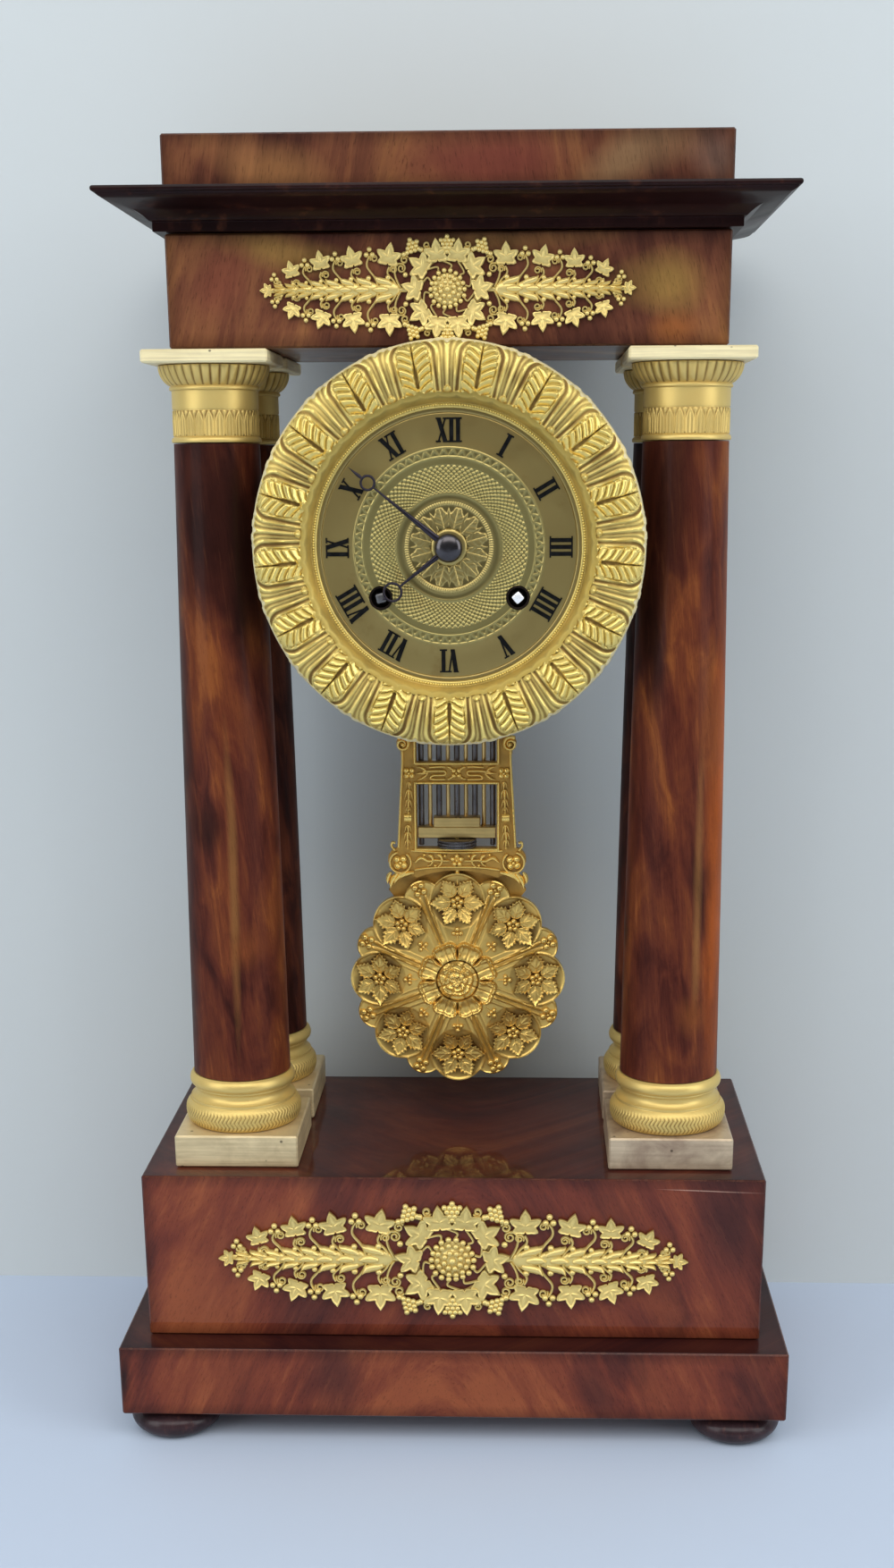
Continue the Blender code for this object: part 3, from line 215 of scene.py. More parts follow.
# The camera of the photograph, fitted to the edges of the case.
photo_width, photo_height = 1000, 1754
focal_pixels = 2065.7
centre_pixel = (516.9, 1140.4)
camera_place = (28.92 * mm, -785.07 * mm, 402.68 * mm)
camera_pitch, camera_yaw, camera_roll = math.radians(-16.66), math.radians(-1.94), math.radians(-0.30)
film = 36.0

ahead = Vector((math.sin(camera_yaw) * math.cos(camera_pitch), math.cos(camera_yaw) * math.cos(camera_pitch),
                math.sin(camera_pitch)))
level = Vector((math.cos(camera_yaw), -math.sin(camera_yaw), 0))
upward = level.cross(ahead)
right = math.cos(camera_roll) * level + math.sin(camera_roll) * upward
up = math.cos(camera_roll) * upward - math.sin(camera_roll) * level
lens = bpy.data.cameras.new("camera")
lens.sensor_width = film
lens.lens = focal_pixels * film / photo_height
lens.shift_x = (photo_width / 2 - centre_pixel[0]) / photo_height
lens.shift_y = (centre_pixel[1] - photo_height / 2) / photo_height
camera = bpy.data.objects.new("camera", lens)
camera.matrix_world = Matrix.Translation(camera_place) @ Matrix((right, up, -ahead)).transposed().to_4x4()
bpy.context.collection.objects.link(camera)
bpy.context.scene.camera = camera


# ---------------------------------------------------------------- bun feet
# Four feet turned from solid mahogany, stained dark and polished, pegged into the plinth.
# Each is a flattened ball with a narrow neck under the plinth.

corners = ("front_left", "front_right", "rear_left", "rear_right")
foot_profile = ((11.0, 0.0), (13.6, 0.25), (16.2, 1.4), (18.3, 3.3), (19.4, 5.6), (19.5, 7.2), (18.6, 9.2),
                (16.6, 10.9), (14.2, 11.9), (13.7, 12.3), (13.7, 13.9))
foot_sides = 96


def all_round(count):
    """Angles evenly round a circle."""
    return np.arange(count) * turn / count


def flowing(points, steps=6):
    """A smooth curve through all the points: every stretch is a cubic with slopes from its neighbours."""
    p = np.asarray(points, float)
    p = np.vstack((2 * p[0] - p[1], p, 2 * p[-1] - p[-2]))
    t = (np.arange(steps) / steps)[None, :, None]
    a, b, c, d = (p[k:len(p) - 3 + k, None] for k in range(4))
    curve = 0.5 * (2 * b + (c - a) * t + (2 * a - 5 * b + 4 * c - d) * t ** 2
                   + (3 * b - a - 3 * c + d) * t ** 3)
    return np.vstack((curve.reshape(-1, p.shape[1]), p[-2]))


def skin(grid, ring=False, relief=None):
    """Closed solids over grids of points [copies, rows, columns, xyz] whose columns close round.

    Four-sided faces join the rows. The first and last rows close on their own middles, or, for a ring, on
    each other. A solid whose volume comes out negative is turned inside out. relief, from 0 in the hollows to
    1 on the crests, is carried on the points for the finish.
    """
    grid = np.asarray(grid, float)
    grid = grid[None] if grid.ndim == 3 else grid
    copies, rows, columns = grid.shape[:3]
    relief = np.broadcast_to(1.0 if relief is None else relief, grid.shape[:3]).reshape(copies, -1)
    points = grid.reshape(copies, -1, 3)
    at = np.arange(rows * columns).reshape(rows, columns)
    rounds = np.vstack((at, at[:1])) if ring else at
    low, high = rounds[:-1], rounds[1:]
    quads = np.stack((low, np.roll(low, -1, 1), np.roll(high, -1, 1), high), -1).reshape(-1, 4)
    threes = np.zeros((0, 3), int)
    if not ring:
        middles = np.stack((grid[:, 0].mean(1), grid[:, -1].mean(1)), 1)
        points = np.concatenate((points, middles), 1)
        ends = np.stack((relief[:, :columns].mean(1), relief[:, -columns:].mean(1)), 1)
        relief = np.concatenate((relief, ends), 1)
        first, last = at[0], at[-1]
        pole = np.full(columns, rows * columns)
        threes = np.vstack((np.stack((pole, np.roll(first, -1), first), -1),
                            np.stack((pole + 1, last, np.roll(last, -1)), -1)))
    flat = np.vstack((quads[:, :3], quads[:, [0, 2, 3]], threes))
    near = points - points.mean(1, keepdims=True)
    corner = near[:, flat]
    inside_out = np.einsum("cfi,cfi->c", corner[:, :, 0], np.cross(corner[:, :, 1], corner[:, :, 2])) < 0
    start = np.arange(copies)[:, None, None] * points.shape[1]
    quads = np.where(inside_out[:, None, None], quads[None, :, ::-1], quads[None]) + start
    threes = np.where(inside_out[:, None, None], threes[None, :, ::-1], threes[None]) + start
    return points.reshape(-1, 3), quads.reshape(-1, 4), threes.reshape(-1, 3), relief.reshape(-1)


def piece(name, solids, finish, body, replaced=(), crease=40):
    """One mesh of several solids, smooth but for edges sharper than crease degrees, riding on a body."""
    points = np.vstack([s[0] for s in solids])
    shift = np.cumsum([0] + [len(s[0]) for s in solids[:-1]])
    quads = np.vstack([s[1] + k for s, k in zip(solids, shift)])
    threes = np.vstack([s[2] + k for s, k in zip(solids, shift)])
    mesh = bpy.data.meshes.new(name)
    mesh.vertices.add(len(points))
    mesh.vertices.foreach_set("co", points.ravel())
    mesh.loops.add(quads.size + threes.size)
    mesh.loops.foreach_set("vertex_index", np.concatenate((quads.ravel(), threes.ravel())))
    mesh.polygons.add(len(quads) + len(threes))
    starts = np.concatenate((np.arange(len(quads)) * 4, quads.size + np.arange(len(threes)) * 3))
    mesh.polygons.foreach_set("loop_start", starts)
    mesh.update(calc_edges=True)
    height = mesh.attributes.new("relief", "FLOAT", "POINT")
    height.data.foreach_set("value", np.concatenate([s[3] for s in solids]))
    mesh.shade_smooth()
    mesh.set_sharp_from_angle(angle=math.radians(crease))
    mesh.materials.append(finish)
    made = bpy.data.objects.new(name, mesh)
    bpy.context.collection.objects.link(made)
    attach(made, body)
    if replaced:
        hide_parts(*replaced)
    return made


def revolved(profile, angle, wave=0.0):
    """(radius, height) pairs in millimetres carried round an axis; wave adds to the radius, row by angle."""
    line = np.asarray(profile, float)
    out = line[:, :1] + wave
    return np.stack(np.broadcast_arrays(out * np.cos(angle), out * np.sin(angle), line[:, 1:]), -1)


def turned(profile, sides, place=(0, 0, 0), wave=0.0, relief=None, ring=False):
    """A solid turned about an upright axis whose foot is at a place."""
    return skin(revolved(profile, all_round(sides), wave) * mm + np.asarray(place), ring, relief)


def middle(node_name):
    """The middle of a CAD node's box, seen from above, and the height of its foot."""
    low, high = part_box(node_name)
    return ((low[0] + high[0]) / 2, (low[1] + high[1]) / 2, low[2])


def four_turned(prefix, kind, finish, crease, profile, sides, wave=0.0, relief=None):
    """The same turned solid at the four corners, each in the place of its CAD node."""
    for corner in corners:
        name = kind + corner
        solid = turned(profile, sides, middle(name), wave, relief)
        piece(prefix + name, [solid], finish, "case", [name], crease)


def repaint(finish, *names):
    """Gives CAD nodes their finish."""
    for name in names:
        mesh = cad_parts[name].data
        mesh.materials.clear()
        mesh.materials.append(finish)


def polished_wood(name, ramp, stretch, gloss, coat, lean=0.0, start=(0, 0, 0), heart=None, box=None,
                  dark_top=1.0, stains=()):
    """French-polished mahogany.

    Places are measured across the grain and along it. Where the figure has a heart, the way across is the
    distance from the heart, rounded off at the heart itself, so that the flames lean inwards from both
    sides. Broad stretched clouds, bent by other clouds, give the flame, slower clouds darken patches of it,
    and thin lines along the grain give streaks and pores; the pores also dent the polish. A stain is a soft
    oval of another colour: its middle, half width and half height in millimetres, its turn in degrees, its
    colour and its amount. Near the edges of a box the wood is darker, as painted shade, and the arris itself
    is lighter, partly as wear and partly as a painted highlight; dark_top is how much of its colour the top
    keeps under a painted shade.
    """
    made, tree, shader = new_finish(name)
    own = node(tree, "TexCoord", {}).outputs["Object"]
    x, y, z = node(tree, "SeparateXYZ", {0: own}).outputs
    across, deep = x, y
    if heart is not None:
        off = sum_of(tree, "SUBTRACT", x, heart)
        fold = sum_of(tree, "SQRT", sum_of(tree, "MULTIPLY_ADD", off, off, 3e-4))
        across, deep = sum_of(tree, "SUBTRACT", fold, y), sum_of(tree, "SUBTRACT", x, y)
    place = node(tree, "CombineXYZ", {0: sum_of(tree, "MULTIPLY_ADD", z, lean, across), 1: deep,
                                      2: sum_of(tree, "MULTIPLY_ADD", across, -lean, z)}).outputs[0]

    def grain(*fine):
        """The coordinates of the figure, each stretched, and then times how fine the pattern is that way."""
        scale = tuple(s * f for s, f in zip(stretch, fine))
        return node(tree, "Mapping", {"Vector": place, "Location": start, "Scale": scale}).outputs[0]

    broad = grain(1, 1, 1)
    drift = node(tree, "TexNoise", {"Vector": broad, "Scale": 0.6, "Detail": 2.0}).outputs["Color"]
    drift = vector_sum(tree, "SUBTRACT", drift, (0.5, 0.5, 0.5))
    bent = vector_sum(tree, "MULTIPLY_ADD", drift, (2.4, 2.4, 2.4), broad)
    flame = clouds(tree, bent, 5.0, 0.58, 0.6)
    patches = clouds(tree, bent, 2.0, 0.5, 1.2, 0.42)
    fibres = clouds(tree, grain(8, 4, 1.3), 3.0, 0.65)
    hairs = clouds(tree, grain(30, 12, 3), 3.0, 0.7)
    figure = -0.895
    for part, share in ((flame, 1.20), (patches, 1.05), (fibres, 0.40), (hairs, 0.28)):
        figure = sum_of(tree, "MULTIPLY_ADD", part, share, figure)
    colour = graded(tree, figure, *ramp)
    light = graded(tree, figure, (0.1, 0.55), (0.9, 1.0))
    for at_x, at_z, half_wide, half_tall, tilt, tone, amount in stains:
        spot = node(tree, "Mapping", {"Vector": own, "Location": (at_x * mm, 0, at_z * mm),
                                      "Rotation": (0, math.radians(tilt), 0),
                                      "Scale": (half_wide * mm, 10, half_tall * mm)},
                    vector_type="TEXTURE").outputs[0]
        away = vector_sum(tree, "LENGTH", vector_sum(tree, "MULTIPLY_ADD", drift, (1.5, 0, 1.5), spot))
        colour = mixed(tree, graded(tree, away, (0.25, amount), (1.0, 0.0)), colour, times(tree, tone, light))
    streaks = graded(tree, fibres, (0.58, 0.0), (0.78, 0.30))
    colour = mixed(tree, streaks, colour, mixed(tree, 0.40, colour, (0.40, 0.13, 0.05)))
    pores = graded(tree, clouds(tree, grain(60, 60, 10), 2.0), (0.30, 0.5), (0.42, 1.0))
    colour = mixed(tree, 0.65, colour, times(tree, colour, pores))
    if box:
        gaps = []
        for way, low, high in zip((x, y, z), *box):
            off = sum_of(tree, "ABSOLUTE", sum_of(tree, "SUBTRACT", way, (high + low) / 2))
            gaps.append(sum_of(tree, "SUBTRACT", (high - low) / 2, off))
        a, b, c = gaps
        rim = sum_of(tree, "MAXIMUM", sum_of(tree, "MINIMUM", a, b),
                     sum_of(tree, "MINIMUM", sum_of(tree, "MAXIMUM", a, b), c))
        rim = sum_of(tree, "ADD", rim, swing(tree, fibres, 3 * mm))
        # Painted shade: the wood is made darker within a few millimetres of every edge of the box.
        inwards = sum_of(tree, "DIVIDE", rim, 6 * mm, clamp=True)
        colour = times(tree, colour, graded(tree, inwards, (0.0, 0.40), (0.15, 0.62), (1.0, 1.0)))
        # Painted shade: the top face is mixed towards near black, keeping dark_top of its colour.
        on_top = sum_of(tree, "GREATER_THAN", z, box[1][2] - 0.1 * mm)
        colour = mixed(tree, sum_of(tree, "MULTIPLY", on_top, 1 - dark_top), colour, (0.010, 0.003, 0.005))
        # The arris is painted lighter: partly wear, partly a painted highlight.
        worn_and_highlit = sum_of(tree, "LESS_THAN", rim, 0.30 * mm)
        colour = mixed(tree, sum_of(tree, "MULTIPLY", worn_and_highlit, 0.2), colour, (0.24, 0.09, 0.05))
    smears = clouds(tree, 30, 3.0)
    feed(tree, shader, {"Base Color": colour, "Roughness": graded(tree, smears, (0.3, 0.36), (0.75, 0.52)),
                        "Specular IOR Level": 0.06, "Coat Weight": coat, "Coat Roughness": gloss,
                        "Normal": dented(tree, pores, 0.12, 0.15),
                        "Coat Normal": dented(tree, smears, 0.10, 1.0)})
    return made


red_flame = ((0.10, (0.046, 0.011, 0.009)), (0.34, (0.092, 0.020, 0.0125)), (0.52, (0.138, 0.029, 0.0155)),
             (0.70, (0.185, 0.042, 0.019)), (0.92, (0.262, 0.069, 0.026)))
purple_stain = ((0.15, (0.016, 0.008, 0.010)), (0.5, (0.034, 0.017, 0.020)), (0.9, (0.062, 0.030, 0.032)))

dark_wood = polished_wood("dark_polished_mahogany", purple_stain, (60, 60, 90), 0.22, 0.4)
four_turned("turned_", "foot_", dark_wood, 60, flowing(foot_profile, 5), foot_sides)


# ---------------------------------------------------------------- plinth and base box
# A mitred frame and a dovetailed carcass, both faced with flame mahogany veneer and French polished.
# The veneer of the plinth stands upright; the top board of the box is polished like a mirror.

crotch_light, crotch_dark = (0.235, 0.058, 0.024), (0.070, 0.018, 0.014)
plinth_stains = ((-97, 28, 13, 26, 24, crotch_light, 0.5), (-52, 30, 18, 26, 24, crotch_dark, 0.75),
                 (-20, 28, 8, 22, 8, crotch_light, 0.55), (32, 32, 20, 9, -24, crotch_light, 0.6),
                 (62, 26, 10, 26, -24, crotch_dark, 0.7), (84, 28, 8, 26, -20, crotch_light, 0.55),
                 (128, 30, 14, 26, 0, crotch_dark, 0.6), (-140, 31, 2.6, 12, 4, (0.05, 0.018, 0.016), 0.9))
# The last of the box's is a hairline crack in the veneer at the upper right.
base_stains = ((-100, 84, 20, 40, 20, (0.178, 0.040, 0.020), 0.45), (-58, 58, 16, 26, 30, crotch_dark, 0.7),
               (-52, 112, 16, 12, 30, crotch_dark, 0.6), (-20, 112, 22, 9, 0, crotch_light, 0.35),
               (84, 66, 10, 34, -28, crotch_light, 0.6), (66, 108, 13, 16, -40, crotch_light, 0.35),
               (116, 100, 18, 30, -20, crotch_dark, 0.85), (40, 56, 18, 14, -30, crotch_dark, 0.4),
               (106, 113.6, 26, 0.32, 2, (0.60, 0.36, 0.27), 0.9))

plinth_wood = polished_wood("plinth_veneer", red_flame, (40, 18, 13), 0.13, 0.36, lean=0.45,
                            start=(3.1, 0.4, 7.2), heart=-0.004,
                            box=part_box("base_plinth"), dark_top=0.25, stains=plinth_stains)
base_wood = polished_wood("base_veneer", red_flame, (34, 14, 11), 0.05, 0.40, lean=0.50,
                          start=(1.2, 0.4, 2.2), heart=0.006,
                          box=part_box("base_box"), dark_top=0.45, stains=base_stains)
repaint(plinth_wood, "base_plinth")
repaint(base_wood, "base_box")


# ---------------------------------------------------------------- base mount
# A thin openwork casting of gilt bronze pinned to the front of the base: on each arm a chain of husks with
# vine leaves and grapes on curling stalks, and in the middle a wreath of vine round a rosette of berries.


def gilding(name, tone, hollow, matt=0.50, bright=0.34, wear=0.3, metal=0.65, plain=None, edge=None):
    """Fire-gilt bronze: matt in the hollows, burnished on the crests, and redder where the gold is thin.

    The relief carried on the points moves the colour and the roughness; the colour goes towards the hollow
    colour where it is low, as painted shade. Fine noise gives the matted grain. A plain surface has slow
    clouds round a middle value instead of a relief. An edge colour with less metal shows on the very highest
    places, partly where the gold is worn through and partly as a painted highlight.
    """
    made, tree, shader = new_finish(name)
    if plain is None:
        relief = node(tree, "Attribute", {}, attribute_name="relief").outputs["Fac"]
    else:
        relief = sum_of(tree, "ADD", clouds(tree, 120, 3.0), plain - 0.5)
    thin = clouds(tree, 70, 5.0, 0.62)
    crest = sum_of(tree, "ADD", relief, swing(tree, thin, 0.5), clamp=True)
    # Painted shade: the colour goes to the hollow colour where the relief is low.
    colour = mixed(tree, graded(tree, crest, (0.05, 0.0), (0.55, 1.0)), hollow, tone)
    redder = sum_of(tree, "MULTIPLY", graded(tree, thin, (0.42, 0.0), (0.7, 1.0)), wear)
    colour = mixed(tree, redder, colour, (min(1.0, 0.93 * tone[0]), 0.78 * tone[1], 0.62 * tone[2]))
    # Wear and painted highlight: the highest places take the pale edge colour and less metal.
    if edge:
        worn_and_highlit = graded(tree, sum_of(tree, "MULTIPLY_ADD", thin, 0.06, relief), (0.97, 0.0), (1.0, 0.9))
        colour = mixed(tree, worn_and_highlit, colour, edge)
        metal = sum_of(tree, "MULTIPLY_ADD", worn_and_highlit, 0.15 - metal, metal)
    shine = sum_of(tree, "ADD", grey(tree, graded(tree, crest, (0.2, matt), (0.95, bright))),
                   swing(tree, thin, 0.22))
    feed(tree, shader, {"Base Color": colour, "Roughness": shine, "Metallic": metal,
                        "Normal": dented(tree, clouds(tree, 1500, 2.0), 0.5, 0.03)})
    return made


mount_gilt = gilding("mount_gilding", (0.80, 0.62, 0.22), (0.26, 0.145, 0.030), 0.50, 0.36, 0.15, 0.55)
mount_half_length = 98.8
arm_leaves = ((30.7, 15.7, 13.8, 0.0), (49.9, 14.8, 12.7, 0.05), (66.5, 13.4, 11.6, 0.18),
              (81.9, 9.3, 10.2, 0.45))
arm_grapes = ((40.8, 18.2, 1.4), (58.9, 16.2, 1.35), (75.0, 13.3, 1.3), (91.2, 6.4, 1.2))
wreath_leaves = ((5.4, 17.2, 14.2, 0.1, 0.75), (13.5, 11.2, 14.4, 1.0, 0.4))
wreath_side_leaf, wreath_side_span = (17.2, 0.2), 13.6
wreath_stalk, wreath_stalk_width = (16.4, 16.8), 2.2
grape_cluster = ((0, 0), (1, 0), (-1, 0), (0.5, 0.87), (-0.5, 0.87), (0.5, -0.87), (-0.5, -0.87), (0, -1.7),
                 (1.5, 0.87), (-1.5, 0.87), (0, 1.7))
grape = 1.3
husks = ((26.9, 10.6, 5.0), (37.6, 9.6, 4.8), (47.2, 8.6, 4.5), (55.0, 8.6, 4.1), (63.3, 8.2, 3.7),
         (71.4, 7.4, 3.2), (78.7, 6.6, 2.7), (85.0, 6.2, 2.2))
husk_joints = np.array((26.6, 36.4, 46.2, 54.6, 62.8, 71.0, 78.4, 86.0))
leaf_outline = ((0, 1.12), (5, 1.0), (14, 0.84), (26, 0.70), (38, 0.55), (48, 0.68), (60, 0.97), (67, 1.07),
                (74, 0.98), (84, 0.84), (94, 0.68), (103, 0.66), (112, 0.84), (121, 0.93), (131, 0.84),
                (145, 0.66), (160, 0.60), (172, 0.56), (180, 0.40))
stalk = 0.60


def pairs(across, up):
    """Points or directions on a plane from their two parts."""
    return np.stack(np.broadcast_arrays(across, up), -1)


def circle(angle, radius=1.0):
    """Points on a circle, their angles counted from the right."""
    return pairs(radius * np.cos(angle), radius * np.sin(angle))


def clockwise(angle, radius=1.0):
    """Points on a circle, their angles counted clockwise from the top."""
    return pairs(radius * np.sin(angle), radius * np.cos(angle))


def lifted(plan, height):
    """Points [..., 3] from a plan [..., 2] and the height of every point."""
    return np.concatenate((plan, np.broadcast_to(height, plan.shape[:-1])[..., None]), -1)


def spun(points, way):
    """Points turned clockwise about the middle of the plane."""
    x, y = points[..., 0], points[..., 1]
    return pairs(x * math.cos(way) + y * math.sin(way), -x * math.sin(way) + y * math.cos(way))


def pods(paths, half_widths, heights, lift=0.0, sides=10):
    """Long rounded bodies that lie on a plane, as (grid, relief).

    At every point of a path [copies, rows, 2] stands an upright half oval, half_width to each side of the
    path and height high; under the plane the oval is a quarter as deep. The relief is painted shade: it
    grows with how high up the oval a point is, so the low flanks are darker.
    """
    paths = np.asarray(paths, float)
    run = np.gradient(paths, axis=1)
    run /= np.linalg.norm(run, axis=2, keepdims=True) + 1e-12
    left = np.stack((-run[..., 1], run[..., 0]), -1)
    angle = all_round(sides)
    rise = np.where(np.sin(angle) > 0, np.sin(angle), 0.25 * np.sin(angle))
    half_widths = np.broadcast_to(half_widths, paths.shape[:2])
    heights = np.broadcast_to(heights, paths.shape[:2])
    grid = np.empty((*paths.shape[:2], sides, 3))
    grid[..., :2] = paths[:, :, None] + left[:, :, None] * (half_widths[..., None] * np.cos(angle))[..., None]
    grid[..., 2] = lift + heights[..., None] * rise
    return grid, np.broadcast_to(0.15 + 0.85 * np.clip(rise, 0, 1), grid.shape[:3])


def beads(places, radii, lift=0.0, sides=10, rows=7, tall=1.0):
    """Little balls with their middles lift above the plane: circles of latitude round each place."""
    places = np.asarray(places, float)[:, None, None]
    radii = np.broadcast_to(radii, len(places))[:, None, None]
    lift = np.broadcast_to(lift, len(places))[:, None, None]
    down = np.linspace(0.12, math.pi - 0.12, rows)[None, :, None]
    grid = lifted(places + circle(all_round(sides), radii * np.sin(down)), lift + tall * radii * np.cos(down))
    # The relief is painted shade: lighter on the front of every ball, darker round its edge.
    return grid, np.broadcast_to(np.clip(0.45 + 0.55 * np.cos(down), 0, 1), grid.shape[:3])


def vine_leaves(places, spans, ways, thick=1.5, lift=0.0, columns=72, outline=leaf_outline,
                veins=(0, 70, -70)):
    """Lobed leaves: rings from the middle out to the outline, raised a little at the edge and on each vein.

    spans are the widths of the leaves and ways the directions of their tips. Every leaf slopes up towards
    its tip.
    """
    places, ways = np.asarray(places, float), np.asarray(ways, float)
    ways = ways / np.linalg.norm(ways, axis=1, keepdims=True)
    angle = all_round(columns)
    fold = np.abs((np.degrees(angle) + 180) % 360 - 180)
    reach = np.interp(fold, *np.asarray(outline, float).T)
    out = np.array([0.12, 0.3, 0.5, 0.68, 0.79, 0.88, 0.96, 1.01, 0.98])
    height = np.array([0.64, 0.60, 0.57, 0.55, 0.60, 0.88, 0.84, 0.30, 0.0])
    breadth = 5 + 3 / (out[:, None] + 0.05)
    rib = sum(np.exp(-((((np.degrees(angle) - v + 180) % 360 - 180)[None] / breadth) ** 2))
              for v in veins) * np.clip(1.1 - out[:, None], 0, 1)
    side, tip = out[:, None] * reach * np.sin(angle), out[:, None] * reach * np.cos(angle)
    size = np.asarray(spans, float)[:, None, None] / 2
    across = np.stack((ways[:, 1], -ways[:, 0]), -1)
    plan = (places[:, None, None] + size[..., None] * (side[None, ..., None] * across[:, None, None]
                                                       + tip[None, ..., None] * ways[:, None, None]))
    slope = 0.13 * size * tip * np.minimum(1, 2 * height[:, None])
    rise = lift + thick * (height[:, None] + 0.25 * rib) + np.clip(slope, -0.5, 0.9)
    grid = lifted(plan, rise)
    # Painted shade: darker in the dished middle and at the very edge, lighter on the raised rim and the veins.
    shade = np.clip(0.44 + 1.35 * (height[:, None] - 0.55) + 0.34 * rib, 0, 1)
    return grid, np.broadcast_to(shade, grid.shape[:3])


def bends(starts, pulls, ends, rows=14):
    """Curves from start to end drawn towards two pulling points each: cubic curves [copies, rows, 2]."""
    t = np.linspace(0, 1, rows)[None, :, None]
    a, d = np.asarray(starts, float)[:, None], np.asarray(ends, float)[:, None]
    b, c = (np.asarray(p, float)[:, None] for p in pulls)
    return a * (1 - t) ** 3 + 3 * b * t * (1 - t) ** 2 + 3 * c * t ** 2 * (1 - t) + d * t ** 3


def curls(middles, radii, starts, turns=1.35, rows=20):
    """Spirals [copies, rows, 2] that wind inwards from an angle; a negative radius winds the other way."""
    t = np.linspace(0, 1, rows)[None, :]
    r = np.abs(radii)[:, None] * (1 - 0.72 * t)
    angle = np.asarray(starts, float)[:, None] + np.sign(radii)[:, None] * turn * turns * t
    return np.asarray(middles, float)[:, None] + circle(angle, r)


def facing_front(grid, centre, scale=mm):
    """Turns a relief drawn as across, up and out of the plane into the clock's frame, on its front side."""
    return np.stack((centre[0] + grid[..., 0] * scale, centre[1] - grid[..., 2] * scale,
                     centre[2] + grid[..., 1] * scale), -1)


def raised(parts, centre, scale=mm):
    """Solids for every (grid, relief) pair, set up on a plane through a point of the clock's front."""
    return [skin(facing_front(grid, centre, scale), relief=shade) for grid, shade in parts]


def quarters(values, flips=((1, 1), (-1, 1), (1, -1), (-1, -1))):
    """Repeats points or directions [copies, ..., 2] for the four quarters of the mount."""
    return np.concatenate([np.asarray(values, float) * f for f in flips])


def halves(values):
    """Repeats points or directions [copies, ..., 2] for the right and the left half."""
    return quarters(values, ((1, 1), (-1, 1)))


def widths(half, places, shares, rows=14):
    """Half widths along several paths: each path's own, times shares given at places from 0 to 1."""
    return half[:, None] * np.interp(np.linspace(0, 1, rows), places, shares)


